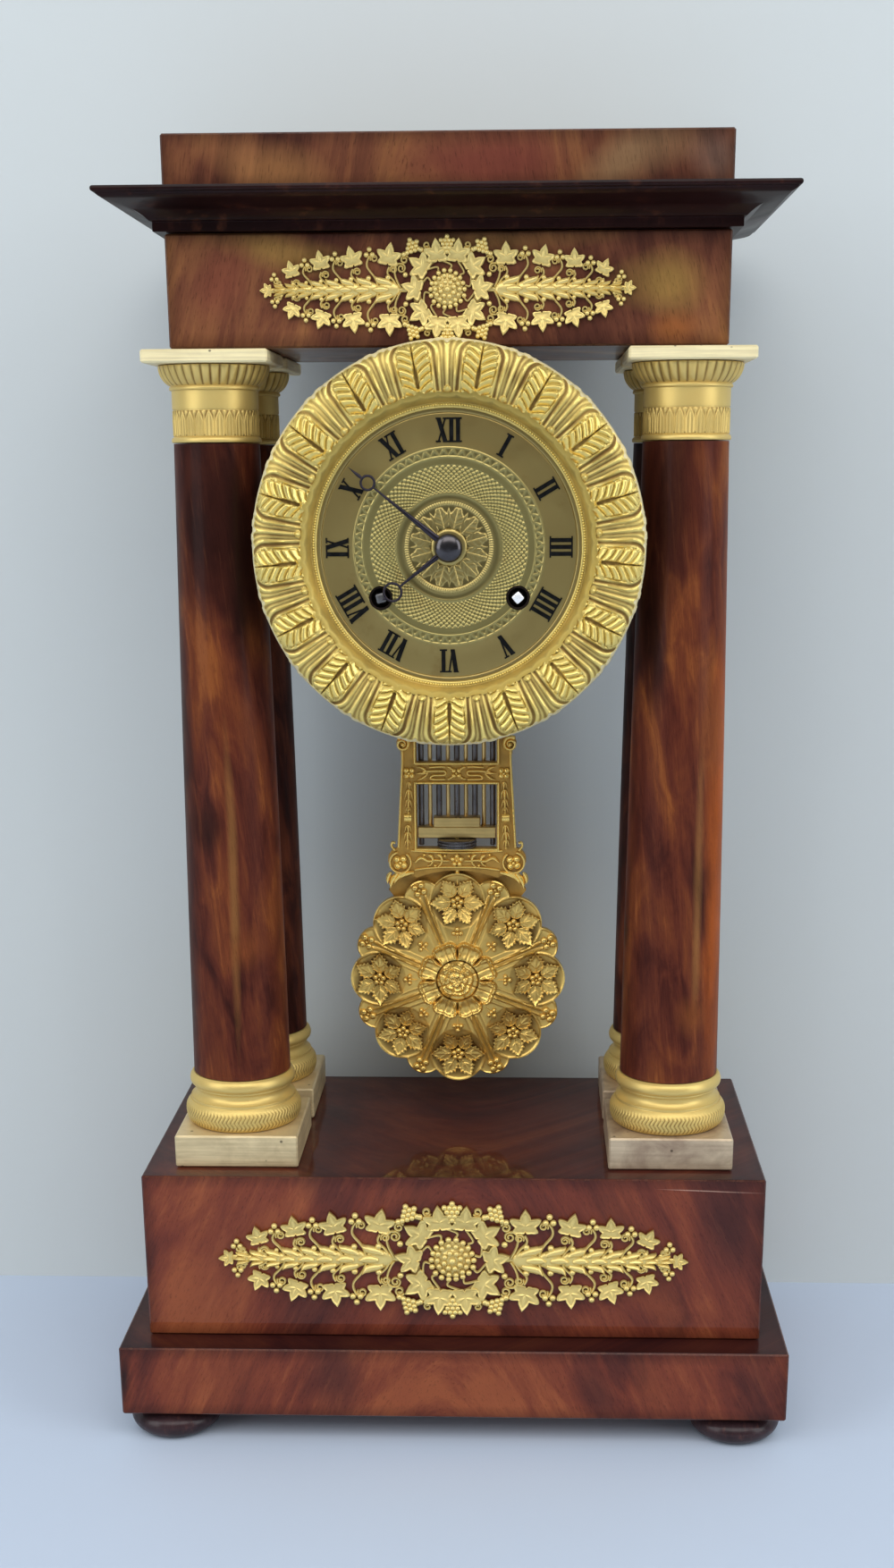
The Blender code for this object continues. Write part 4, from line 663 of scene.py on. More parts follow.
def spray_mount():
    """The solids of the openwork mount one by one, as (grid, relief) pairs in millimetres on a plane."""
    x, y, span, lean = np.array(arm_leaves).T
    leaves = pairs(x, y)
    ways = quarters(pairs(lean, 1.0)) + 0.22 * pairs(np.sin(2.1 * np.arange(16)), 0)
    yield vine_leaves(quarters(leaves), np.tile(span, 4), ways, lift=0.3)
    x, y, bead = np.array(arm_grapes).T
    grapes = pairs(x, y)
    triple = np.array(((0, 1.15), (-1.15, -0.75), (1.15, -0.75))) * bead[:, None, None]
    yield beads(quarters((grapes[:, None] + triple).reshape(-1, 2)), np.tile(np.repeat(bead, 3), 4), 0.9, 12)
    # The curling stalks rise from the joints of the husks: one to every leaf and every bunch of grapes.
    ends = np.stack((leaves - (0.3, 4.6), grapes - (0.2, 1.6)), 1).reshape(-1, 2)
    rising = pairs(husk_joints + 1.2, 0.8 + 0.55 * ends[:, 1])
    stems = bends(pairs(husk_joints, 0.8), (rising, ends + (0.31, -0.45) * ends[:, 1:]), ends, 20)
    yield pods(quarters(stems), stalk, 1.5)
    eyes = ends - (2.2, 1.3)
    yield pods(quarters(curls(eyes, (2.0,) * 7 + (1.3,), (-0.5,) * 8, 1.5, 26)), stalk * 0.85, 1.35)
    tendril = bends([(24.6, 1.0)], ([(29.5, 8.0)], [(27.8, 13.4)]), [(24.4, 12.6)], 20)
    yield pods(quarters(tendril), stalk, 1.5)
    yield pods(quarters(curls([(24.2, 10.4)], [2.3], [1.5], 1.4, 30)), stalk * 0.9, 1.4)
    # A husk is a broad cup that lies over the foot of the next, with three petals and a berry on either side.
    x, length, half = np.array(husks).T

    def along(start, end, rows=14):
        """Straight paths over a stretch of every husk, in shares of its length."""
        t = np.linspace(0, 1, rows)
        return pairs(x[:, None] + length[:, None] * (start + (end - start) * t), 0.0)

    def beside(share, out):
        """A point by every husk, in shares of its length and half width."""
        return pairs(x + share * length, out * half)

    cup_width = widths(half, (0, 0.12, 0.4, 0.8, 1), (0.32, 0.62, 0.88, 0.84, 0.5))
    cup_height = widths(0 * half + 2.0, (0, 0.1, 0.5, 1), (0.5, 0.85, 1.0, 0.55))
    yield pods(halves(along(-0.16, 0.86)), np.tile(cup_width, (2, 1)), np.tile(cup_height, (2, 1)), sides=18)
    middle_width = widths(half, (0, 0.4, 0.75, 1), (0.28, 0.46, 0.40, 0.05))
    yield pods(halves(along(0.42, 1.20)), np.tile(middle_width, (2, 1)), 2.7, sides=12)
    petal = bends(beside(0.22, 0.50), (beside(0.55, 0.92), beside(0.85, 0.62)), beside(1.06, 1.32))
    petal_width = widths(half, (0, 0.35, 0.75, 1), (0.26, 0.40, 0.38, 0.06))
    yield pods(quarters(petal), np.tile(petal_width, (4, 1)), 2.5, sides=12)
    yield beads(quarters(beside(0.40, 1.18)), np.tile(0.24 * half + 0.25, 4), 0.8, 12)
    yield pods(halves([pairs(np.linspace(21, 94, 30), 0.0)]), 1.3, 0.8)
    yield vine_leaves(halves([(95.0, 0.0)]), [7.6] * 2, halves([(1, 0)]))
    # The wreath: ten leaves that touch, a bunch of grapes at every corner, above and below.
    for x, y, span, lean, lift in wreath_leaves:
        yield vine_leaves(quarters([(x, y)]), [span] * 4, quarters([(math.sin(lean), math.cos(lean))]),
                          lift=lift)
    yield vine_leaves(halves([wreath_side_leaf]), [wreath_side_span] * 2, halves([(1, 0.3)]), lift=0.9)
    a = np.linspace(0, turn, 120)
    # The stalk ring under the leaves carries a quarter of its shade, so that it shows dark between them:
    # painted shade.
    ring, shade = pods([circle(a) * wreath_stalk], wreath_stalk_width, 0.45)
    yield ring, 0.25 * shade
    bunch = np.array(grape_cluster) * 2.15
    yield beads(quarters(spun(bunch, -0.75) + (18.4, 20.6)), grape, 1.3, 12)
    yield beads(quarters(bunch + (0, 22.0), ((1, 1), (1, -1))), grape, 1.5, 12)
    yield pods(quarters(curls([(10.6, 21.6), (22.4, 14.6)], (1.9, -2.2), (3.6, 2.6))), stalk, 1.4)
    yield beads(quarters([(22.0, 7.2), (13.6, 19.4), (22.6, 17.2)]), 1.4, 1.0, 12)
    spoke = all_round(10) + 0.2
    bow = circle(spoke - 0.14, 12.4)
    yield pods(bends(circle(spoke, 9.6), (bow, bow), circle(spoke + 0.34, 14.6)), stalk * 0.9, 1.2)
    # The rosette: three rows of berries round a larger one, like a raspberry.
    for radius, count, bead, high in ((9.0, 18, 1.3, 1.0), (6.5, 14, 1.25, 1.5)):
        yield beads(circle(all_round(count), radius + 0.35 * np.sin(5.3 * np.arange(count))), bead, high, 12)
    yield beads([(0, 0)], 8.2, 0.1, sides=40, tall=0.16)
    yield beads([(0, 0)], 5.4, 0.4, sides=24, tall=0.32)
    yield beads(circle(all_round(8) + 0.3, 3.6), 1.3, 2.0, 12)
    yield beads([(0, 0)], 1.7, 2.3, 12)


def middle_rear(node_name):
    """The middle of the rear face of a CAD node, for a relief that is set on what lies behind it."""
    low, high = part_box(node_name)
    return ((low[0] + high[0]) / 2, high[1], (low[2] + high[2]) / 2)


spray = list(spray_mount())
base_mount = raised(spray, middle_rear("base_mount"))
piece("openwork_base_mount", base_mount, mount_gilt, "case", ["base_mount"], 50)


# ---------------------------------------------------------------- column blocks and column bases
# Square brass blocks, filed and left pale, under cast and turned bases of matt gilt bronze.
# A base has a rounded foot knurled in a herringbone, a hollow between two fillets, and a smaller round above.

base_sides = 440
herringbone_teeth = 88
herringbone_depth = 0.34
base_outline = ((22.6, 0.0), (22.9, 0.15), (23.9, 1.5), (24.45, 3.3), (24.6, 5.2), (24.4, 7.0), (23.7, 8.6),
                (22.9, 9.6), (22.6, 9.9), (22.3, 9.95), (22.3, 11.1), (22.1, 11.2), (21.2, 11.9),
                (20.4, 13.0), (20.2, 14.2), (20.5, 15.3), (20.9, 15.7), (20.9, 16.5), (21.3, 16.6),
                (22.1, 17.3), (22.5, 18.6), (22.3, 20.0), (21.7, 21.2), (20.9, 21.9), (20.9, 22.0))


def bare_brass(name, tone, scratch=(25, 25, 900), rough=0.34, tarnish=(0.20, 0.125, 0.05), amount=0.45,
               metal=1.0):
    """Filed brass: scratches along one way, dull brown clouds of tarnish and a few dark pits."""
    made, tree, shader = new_finish(name)
    lines = clouds(tree, scratch, 3.0, 0.6)
    dull = clouds(tree, (55, 55, 80), 5.0, 0.6, 0.6)
    cells = node(tree, "TexVoronoi", {"Vector": stretched(tree, (130, 130, 130)), "Scale": 1.0})
    pits = cells.outputs["Distance"]
    share = sum_of(tree, "MULTIPLY", graded(tree, dull, (0.40, 0.0), (0.72, 1.0)), amount)
    colour = mixed(tree, share, tone, tarnish)
    colour = mixed(tree, graded(tree, lines, (0.30, 0.30), (0.60, 0.0)), colour, tarnish)
    colour = mixed(tree, graded(tree, pits, (0.05, 0.8), (0.10, 0.0)), colour, (0.05, 0.03, 0.015))
    shine = sum_of(tree, "ADD", sum_of(tree, "MULTIPLY", dull, 0.25), rough - 0.1)
    feed(tree, shader, {"Base Color": colour, "Roughness": shine, "Metallic": metal,
                        "Normal": dented(tree, lines, 0.25, 0.03)})
    return made


pale_brass = bare_brass("filed_pale_brass", (0.84, 0.675, 0.39), amount=0.38, rough=0.42, metal=0.5)
tarnished_brass = bare_brass("tarnished_pale_brass", (0.66, 0.52, 0.35), amount=0.75, rough=0.45, metal=0.6,
                             tarnish=(0.24, 0.15, 0.105))
repaint(pale_brass, "column_block_front_left", "column_block_rear_left")
repaint(tarnished_brass, "column_block_front_right", "column_block_rear_right")

matt_gilt = gilding("matt_gilding", (0.70, 0.51, 0.165), (0.20, 0.105, 0.020), 0.58, 0.42, 0.2, 0.6)
base_line = flowing(base_outline, 3)
up = base_line[:, 1:]
low_round = np.clip((9.0 - up) / 1.2, 0, 1) * np.clip(up / 0.8, 0, 1)
slant = np.abs(((up * 0.42) % 2) - 1)
weave = 0.5 + 0.5 * np.cos(herringbone_teeth * all_round(base_sides) + slant * 5.5)
knurl = (weave ** 0.7 - 0.6) * herringbone_depth * low_round
# Painted shade: the knurled round is darker in the hollows between the teeth.
base_painted_shade = 0.90 - 0.75 * low_round * (1 - weave)
four_turned("gilt_", "column_base_", matt_gilt, 50, base_line, base_sides, knurl, base_painted_shade)


# ---------------------------------------------------------------- shafts
# Four tapered shafts turned in mahogany, veneered round with the figure upright, and highly polished.
# They are thinner at the top and hardly swell between.

shaft_sides = 96
shaft_rows = 40
shaft_bottom, shaft_top, shaft_swell = 20.6, 16.7, 0.35

deep_flame = ((0.10, (0.020, 0.0050, 0.0038)), (0.34, (0.060, 0.0135, 0.0082)),
              (0.54, (0.098, 0.0225, 0.0115)), (0.72, (0.140, 0.036, 0.0135)), (0.92, (0.225, 0.066, 0.018)))
rear_shade_flame = ((0.15, (0.010, 0.003, 0.0025)), (0.50, (0.036, 0.009, 0.006)), (0.90, (0.110, 0.028, 0.012)))
# Several of these stains are painted light: the broad dark one high on each front shaft is painted shade at its
# head, the tall black one at the left edge of the front left shaft is painted shade, and the two thin olive
# stripes are painted highlights. The rest are blotches and patches in the figure of the wood.
black_blotch_and_edge_shade, shaft_top_shade = (0.020, 0.007, 0.005), (0.030, 0.0085, 0.006)
painted_highlight_stripe = (0.290, 0.125, 0.038)
shaft_stains = {
    "front_left": ((-92, 392, 30, 62, 0, shaft_top_shade, 0.85), (-111, 290, 8, 170, 0, black_blotch_and_edge_shade, 0.85),
                   (-89.5, 235, 2.6, 66, 0, painted_highlight_stripe, 0.75), (-81, 366, 9, 50, 0, black_blotch_and_edge_shade, 0.9),
                   (-101, 262, 8, 12, 0, black_blotch_and_edge_shade, 0.6),
                   (-84, 214, 12, 12, 0, (0.24, 0.065, 0.018), 0.6)),
    "front_right": ((84, 392, 16, 50, 0, shaft_top_shade, 0.8),
                    (109, 270, 7, 130, 0, (0.42, 0.090, 0.010), 0.85),
                    (100, 245, 2.4, 66, 0, painted_highlight_stripe, 0.7), (80, 342, 8, 42, 0, black_blotch_and_edge_shade, 0.9),
                    (98, 186, 10, 12, 0, (0.26, 0.075, 0.020), 0.7),
                    (104, 300, 7, 22, 0, (0.22, 0.062, 0.018), 0.5))}

share = np.linspace(0, 1, shaft_rows)
shaft_radius = shaft_bottom + (shaft_top - shaft_bottom) * share + shaft_swell * np.sin(math.pi * share)
for k, corner in enumerate(corners):
    name = "column_shaft_" + corner
    low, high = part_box(name)
    line = pairs(shaft_radius, share * (high[2] - low[2]) / mm)
    # The rear shafts take a darker ramp of the same wood: painted shade.
    flame = deep_flame if "front" in corner else rear_shade_flame
    finish = polished_wood("shaft_veneer_" + corner, flame, (78, 78, 26), 0.07, 0.03, lean=0.10,
                           start=(2.1 * k, 3.7 * k, 5.3 * k), stains=shaft_stains.get(corner, ()))
    shaft = turned(line, shaft_sides, middle(name))
    piece("polished_" + name, [shaft], finish, "case", [name], 60)


# ---------------------------------------------------------------- capitals and abaci
# Cast gilt capitals: a plain ring, a band of tall leaves with arrow tips, a smooth neck, a fillet, and a
# gadrooned ovolo. Square pale brass abaci lie on them.

gadroons, tall_leaves = 36, 26
capital_sides = gadroons * tall_leaves // 2
capital_outline = ((16.9, 0.0), (17.3, 0.2), (17.45, 0.9), (17.2, 1.7), (16.75, 2.1), (16.45, 2.3),
                   (16.45, 2.4), (16.45, 11.9), (16.45, 12.0), (16.15, 12.15), (16.15, 12.5), (16.6, 12.6),
                   (16.75, 12.8), (16.75, 18.8), (16.8, 19.1), (17.0, 19.3), (17.5, 19.5), (17.5, 20.4),
                   (17.2, 20.6), (17.3, 20.9), (18.3, 21.6), (19.6, 23.0), (20.7, 24.9), (21.35, 26.8),
                   (21.5, 28.0), (21.2, 28.3))
leaf_band, ovolo_band = (2.5, 11.8), (20.9, 28.2)
neck_radius = 16.45

capital_line = flowing(capital_outline, 4)
below = capital_line[capital_line[:, 1] < leaf_band[0]]
above = capital_line[capital_line[:, 1] > leaf_band[1]]
band = pairs(neck_radius, leaf_band[0] + np.linspace(0, 1, 30) * (leaf_band[1] - leaf_band[0]))
capital_line = np.vstack((below, band, above))
capital_angle = all_round(capital_sides)
up = capital_line[:, 1:]
rise = np.clip((up - leaf_band[0]) / (leaf_band[1] - leaf_band[0]), 0, 1)
inside = (up >= leaf_band[0]) & (up <= leaf_band[1])
across = np.abs((capital_angle * tall_leaves / turn) % 1 - 0.5) * 2
blade = 0.72 * (1 - np.clip((rise - 0.55) / 0.42, 0, 1) ** 1.6)
edge = np.exp(-((across - blade) / 0.10) ** 2)
vein = np.exp(-(across / 0.12) ** 2) * (rise < 0.9)
arrow = np.exp(-((across - 1) / (0.10 + 0.25 * np.clip((rise - 0.80) / 0.12, 0, 1) * (rise < 0.97))) ** 2)
leaf_wave = inside * (0.30 * edge + 0.24 * vein + 0.30 * arrow * (rise > 0.06) + 0.10 * (across < blade))
swell = np.clip((up - ovolo_band[0]) / (ovolo_band[1] - ovolo_band[0]), 0, 1)
fluting = np.abs(np.cos(gadroons / 2 * capital_angle))
capital_wave = leaf_wave + np.sin(math.pi * swell ** 0.8) * (fluting ** 0.8 - 0.75)
# Painted shade: darker between the leaves and in the flutes of the gadroons.
capital_painted_shade = np.clip(0.80 - 0.62 * inside * (1 - np.clip(leaf_wave / 0.28, 0, 1))
                         - 0.75 * (swell > 0) * (swell < 1) * (1 - fluting) ** 1.2, 0, 1)
four_turned("gilt_", "capital_", matt_gilt, 50, capital_line, capital_sides, capital_wave,
            capital_painted_shade)
# The abaci are given a very pale tone with little metal, so that they show bright: a painted reflection of the
# window in the brass.
abacus_brass = bare_brass("abacus_brass_painted_reflection", (1.0, 0.86, 0.50), amount=0.16, rough=0.40, metal=0.12)
repaint(abacus_brass, *("abacus_" + corner for corner in corners))


# ---------------------------------------------------------------- tie rods
# Iron rods with square threads and nuts run through the columns and hold base and lintel together.

iron = bare_brass("forged_iron", (0.30, 0.29, 0.28), scratch=(400, 400, 60), rough=0.45,
                  tarnish=(0.10, 0.06, 0.04))
repaint(iron, *("tie_rod_" + corner for corner in corners))


# ---------------------------------------------------------------- lintel, cornice and attic
# The lintel is a veneered carcass; the cornice is a moulding run with a plane, mitred and glued on, stained
# nearly black; the attic block above is veneered like the lintel.

amber_flame = ((0.10, (0.045, 0.014, 0.010)), (0.34, (0.090, 0.028, 0.016)), (0.52, (0.145, 0.048, 0.024)),
               (0.70, (0.205, 0.076, 0.032)), (0.92, (0.290, 0.120, 0.040)))
olive_gold, wine = (0.34, 0.185, 0.050), (0.20, 0.048, 0.032)
lintel_stains = ((-62, 479, 28, 8, 8, olive_gold, 0.8), (80, 468, 24, 14, -20, olive_gold, 0.95),
                 (-86, 466, 12, 18, 30, (0.26, 0.075, 0.040), 0.7),
                 (84, 452, 14, 8, -20, (0.32, 0.105, 0.028), 0.8),
                 (20, 483, 40, 5, 0, olive_gold, 0.45), (-20, 448, 60, 5, 0, (0.10, 0.034, 0.02), 0.6))
attic_stains = ((-66, 509, 30, 12, 20, (0.38, 0.165, 0.062), 0.9), (12, 509, 34, 14, 0, wine, 0.85),
                (68, 510, 26, 12, -20, (0.29, 0.165, 0.080), 0.85),
                (96, 512, 12, 12, 0, (0.22, 0.125, 0.090), 0.7))

lintel_wood = polished_wood("lintel_veneer", amber_flame, (30, 16, 12), 0.12, 0.5, lean=0.30,
                            start=(5.5, 1.1, 3.3), heart=0.01, box=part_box("lintel_box"), stains=lintel_stains)
attic_wood = polished_wood("attic_veneer", amber_flame, (34, 18, 13), 0.16, 0.5, lean=0.20,
                           start=(9.1, 2.2, 6.3), heart=-0.01, box=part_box("attic_block"), stains=attic_stains)
repaint(lintel_wood, "lintel_box")
repaint(attic_wood, "attic_block")

cornice_reach = 22.0
cornice_profile = ((0.0, 0.0), (3.4, 0.0), (3.6, 0.15), (3.6, 3.2), (3.8, 3.4), (4.6, 3.7), (6.0, 4.9),
                   (8.6, 6.6), (12.0, 7.9), (15.8, 8.9), (18.8, 9.9), (20.4, 10.9), (20.8, 11.5),
                   (21.4, 11.6), (21.9, 12.0), (cornice_reach, 12.7), (21.8, 13.3), (21.3, 13.6), (0.0, 13.6))
ebonised = ((0.15, (0.0055, 0.0015, 0.0015)), (0.5, (0.0105, 0.0027, 0.0026)), (0.9, (0.020, 0.0056, 0.0048)))


def moulding(profile, core, bottom):
    """A moulding mitred round a rectangle: every (reach, height) pair in millimetres goes round it."""
    reach, height = np.asarray(profile, float).T * mm
    sides = np.array([(-1, -1), (1, -1), (1, 1), (-1, 1)])
    plan = sides[None] * (np.asarray(core)[None, None] + reach[:, None, None])
    return np.concatenate((plan, np.broadcast_to(bottom + height[:, None, None], (len(reach), 4, 1))), -1)


low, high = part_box("cornice")
core = (high[0] - cornice_reach * mm, high[1] - cornice_reach * mm)
smooth_run = np.vstack((cornice_profile[:3], flowing(cornice_profile[3:-2], 5), cornice_profile[-2:]))
cornice_wood = polished_wood("cornice_wood", ebonised, (14, 40, 60), 0.14, 0.16, start=(0.4, 0.3, 0.8))
cornice = skin(moulding(smooth_run, core, low[2]))
piece("run_cornice", [cornice], cornice_wood, "case", ["cornice"], 30)


# ---------------------------------------------------------------- lintel mount
# The same casting as on the base, made smaller and pinned to the front of the lintel.

low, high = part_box("lintel_mount")
lintel_mount = raised(spray, middle_rear("lintel_mount"), (high[0] - low[0]) / 2 / mount_half_length)
piece("openwork_lintel_mount", lintel_mount, mount_gilt, "case", ["lintel_mount"], 50)


# ---------------------------------------------------------------- bezel
# A ring cast in bronze, chased and gilt, hinged over the dial. Seventeen feathered leaves with raised rims
# stand round it, with fluted fans between them, a scalloped line with berries inside and a rim of pearls.

bezel_leaves, bezel_columns, bezel_rows = 17, 52, 88
bezel_section = ((51.0, 2.0), (51.05, 2.6), (51.4, 2.95), (52.2, 3.0), (52.9, 2.7), (53.3, 3.1), (53.7, 4.1),
                 (54.2, 5.5), (54.9, 6.9), (55.7, 7.8), (57.2, 8.6), (60.0, 9.45), (63.0, 10.0), (66.0, 10.1),
                 (69.0, 9.8), (72.0, 9.0), (74.0, 8.0), (75.2, 6.8), (75.7, 5.6), (75.8, 4.2), (75.8, 1.5))
bezel_back_section = ((75.8, 0.0), (64.0, 0.0), (53.4, 0.0), (53.4, 1.7), (51.0, 1.7))
leaf_half, leaf_foot, leaf_round, leaf_tip = 6.9, 57.4, 70.0, 75.3
barb_pitch, barb_slope = 3.0, 0.95
bezel_pearls, pearl_radius, pearl_ring = 330, 0.50, 52.25
bezel_limits = (76.0, 11.0)

bezel_gilt = gilding("bezel_gilding", (0.80, 0.62, 0.185), (0.15, 0.080, 0.014), 0.46, 0.28, 0.2, 0.66,
                     edge=(0.88, 0.77, 0.46))


def hump(off, width):
    """A smooth rise of height one: a bell curve."""
    return np.exp(-(off / width) ** 2)


def ramp_up(value, start, end):
    """From nought at start to one at end, straight between."""
    return np.clip((value - start) / (end - start), 0, 1)


def dome(off, radius):
    """A half ball of height one over distances from its middle."""
    return np.sqrt(np.clip(1 - (off / radius) ** 2, 0, 1))


def bezel_relief(r, share):
    """Height of the chasing in millimetres at radius r; share is 0 on a leaf's rib and 1 midway between two.

    A leaf: a ridge along its outline; inside it two rows of slanting barbs, each a rounded rise that falls
    off faster outwards, on either side of a groove like a dagger. A fan: thin straps over a sunk ground
    that close on a berry at the foot. At the foot of both a scalloped line of arcs, and a raised rim round
    the outside.
    """
    half_pitch = math.pi * r / bezel_leaves
    u, w = share * half_pitch, (1 - share) * half_pitch
    end = np.sqrt(np.clip(1 - ramp_up(r, leaf_round, leaf_tip) ** 2.3, 0, 1))
    half = (leaf_half - 0.7 * ramp_up(r, leaf_round, leaf_foot)) * end
    foot = 56.7 - 1.1 * np.abs(np.sin(1.5 * math.pi * share)) ** 0.6
    band = ramp_up(r, foot - 0.2, foot + 0.3) * ramp_up(r, 75.1, 74.7)
    leaf = ramp_up(half - u, -0.1, 0.3)
    rim = hump(u - half + 0.1, 0.42) * ramp_up(r, foot, foot + 1.0)
    phase = (r - leaf_foot - barb_slope * u + 0.045 * u ** 2) / barb_pitch
    barb = np.abs(np.sin(math.pi * (phase + 0.10 * np.cos(turn * phase)))) ** 1.1
    dagger = 0.18 + 0.55 * hump(r - 61.5, 4.0) * ramp_up(r, 57.5, 60)
    inside = ramp_up(half - 0.65 - u, 0, 0.45) * ramp_up(r, 74.5, 73.7)
    inside = inside * ramp_up(u, dagger + 0.05, dagger + 0.5)
    blade = (-0.48 + inside * (0.02 + 1.65 * barb) + 0.40 * hump(u - dagger - 0.28, 0.2)
             - 0.25 * ramp_up(u, dagger + 0.1, dagger - 0.1))
    q = np.clip(w / np.maximum(half_pitch - half - 0.6, 0.8), 0, 1)
    straps = 0.85 * hump(q - 0.66, 0.11) + 0.45 * hump(q - 0.36, 0.09) + 0.75 * hump(q, 0.13)
    fan = -0.60 + straps * (0.75 + 0.45 * ramp_up(r, 58, 72))
    face = leaf * blade + (1 - leaf) * fan + 0.70 * rim
    line = 1.4 * hump(r - foot + 0.1, 0.5)
    berries = sum(high * dome(np.hypot(r - at, off), size)
                  for high, at, off, size in ((1.3, 57.6, w, 1.3), (1.3, 57.4, u, 1.3), (0.5, 74.2, w, 0.9)))
    edge = 0.50 * hump(r - 75.3, 0.5) * (0.8 + 0.2 * np.cos(turn * 2 * share))
    return band * face + line + berries + edge - 0.12 * hump(r - pearl_ring, 0.6)


section = flowing(bezel_section, 8)
run = np.concatenate(([0], np.cumsum(np.hypot(*np.diff(section, axis=0).T))))
steps = np.linspace(0, run[-1], bezel_rows)
section = np.stack([np.interp(steps, run, section[:, k]) for k in range(2)], -1)
slope = np.gradient(section, axis=0)
slope /= np.linalg.norm(slope, axis=1, keepdims=True)
angle = all_round(bezel_leaves * bezel_columns)
share = np.abs((angle * bezel_leaves / turn + 0.5) % 1 - 0.5) * 2
out, front = section[:, :1], section[:, 1:]
rise = bezel_relief(out, share[None])
rim_side = ramp_up(front, 0.0, 4.5) * (out > 75.3)
fringe = (-0.35 * ramp_up(share, 0.52, 0.66) + 0.40 * dome((1 - share) * 14, 1.5)
          + 0.25 * dome((share - 0.66) * 14, 1.0))
rise = np.where(rim_side > 0, np.minimum(rise, 0.15), rise) + rim_side * fringe
# Painted shade: the cove is made darker. Wear and painted highlight: the outer rim takes the pale edge colour.
# The rest of the colour follows the relief as painted shade, dark in the hollows and light on the crests.
cove_shade = ramp_up(out, 52.6, 53.4) * ramp_up(out, 56.2, 55.2)
worn_and_highlit_rim = ramp_up(out, 74.4, 74.7) * (front > 3.0)
bezel_shade = np.clip(np.clip(0.50 + 0.80 * rise - 0.12 * cove_shade, 0, 0.92) + worn_and_highlit_rim, 0, 1)
bezel_shade = np.vstack((bezel_shade, np.full((len(bezel_back_section), len(angle)), 0.5)))
chased = np.stack((out + slope[:, 1:] * rise, front + slope[:, :1] * rise), -1)
back = np.repeat(np.array(bezel_back_section)[:, None], len(angle), 1)
chased = np.minimum(np.concatenate((chased, back)), bezel_limits)
chased = lifted(circle(angle - turn / 4, chased[..., 0]), chased[..., 1])
pearls, pearl_shade = beads(circle(all_round(bezel_pearls), pearl_ring), pearl_radius, 3.0, 8, 5)
dial_middle = middle_rear("bezel")
bezel_solids = [skin(facing_front(chased, dial_middle), ring=True, relief=bezel_shade),
                skin(facing_front(pearls, dial_middle), relief=0.3 + 0.62 * pearl_shade)]
piece("chased_bezel", bezel_solids, bezel_gilt, "case", ["bezel"], 60)


# ---------------------------------------------------------------- dial
# One brass plate, engine-turned and satin finished, under a thin greenish lacquer. From the middle outwards:
# a boss, twelve engraved leaves, a ribbed ring, a hollow, a basket of crossing cuts, a ring of small leaves
# between two fillets, and a plain band for the numerals.

dial_columns, basket_grains, basket_twist, dial_petals, small_leaves, rib_count = 756, 84, 0.55, 12, 63, 58
dial_face = 52.05 * mm
dial_rows = ((3.7, 6.9, 6), (7.0, 15.3, 26), (15.5, 17.2, 9), (17.4, 20.2, 8), (20.4, 30.9, 40),
             (31.0, 33.0, 3), (33.1, 37.1, 17), (37.3, 49.0, 3), (49.2, 49.8, 3), (50.2, 53.1, 3))
dial_rear_radii = (53.1, 30.0, 3.7)


def dial_relief(r, angle):
    """Height of the dial in millimetres at radius r and angle.

    The basket is the product of two families of spirals that cross: waves of (count times angle plus or minus
    twist times the logarithm of r). The leaves have an outline of three lobes a side, with veins.
    """
    boss = 0.62 * ramp_up(r, 6.95, 6.5) - 0.22 * hump(r - 5.9, 0.35)
    share = ((angle * dial_petals / turn) % 1 - 0.5) * 2
    side = np.abs(share) * math.pi * r / dial_petals
    along = ramp_up(r, 7.2, 15.2)
    lobes = along * 3.3
    half = (0.70 + 2.15 * np.sin(math.pi * along ** 0.8) ** 0.8) * (1 + 0.11 * np.cos(turn * (lobes - 0.15)))
    leaf = ramp_up(half * (along < 1) - side, -0.08, 0.12)
    vein = hump(side, 0.16) - 0.6 * hump(((lobes - 0.12 - side * 0.32) % 1) - 0.5, 0.16) * (side > 0.25)
    to_next = math.pi * r / dial_petals - side
    behind = ramp_up(1.3 * ramp_up(r, 15.1, 10.5) - to_next, 0.0, 0.2) * (r > 10.5)
    dots = dome(np.hypot(r - 8.6, to_next), 0.62)
    rosette = -0.18 + leaf * (0.38 + 0.20 * vein) + (1 - leaf) * (0.27 * behind + 0.2 * dots)
    ribs = 0.34 * dome(r - 16.4, 0.85) * (0.45 + 0.55 * np.cos(rib_count * angle) ** 2) - 0.12
    middle_part = (r > 6.95) * (r < 15.35) * rosette + (r > 15.45) * (r < 17.3) * ribs
    hollow = -0.13 * np.sin(math.pi * ramp_up(r, 17.4, 19.9)) ** 0.8 + 0.12 * hump(r - 20.1, 0.2)
    spiral = basket_grains * basket_twist * np.log(r)
    one, other = (np.cos((basket_grains * angle + way * spiral) / 2) for way in (2, -2))
    grain = (np.abs(one) * np.abs(other)) ** 0.7
    basket = ramp_up(r, 20.5, 21.2) * ramp_up(r, 30.8, 30.0) * (0.62 * grain - 0.36)
    fillets = 0.22 * (hump(r - 33.45, 0.24) + hump(r - 36.75, 0.24))
    share = ((angle * small_leaves / turn) % 1 - 0.5) * 2
    up_leaf = (r - 35.1) / 1.3
    chevron = 0.20 * hump(np.abs(share) - 0.45 * (1 - up_leaf), 0.26)
    chevron = chevron + 0.12 * dome(np.hypot(up_leaf - 0.5, share), 0.35)
    band = (np.abs(up_leaf) < 1) * (chevron - 0.13)
    line = -0.22 * hump(r - 49.5, 0.18)
    return boss + middle_part + hollow + basket + fillets + band + line


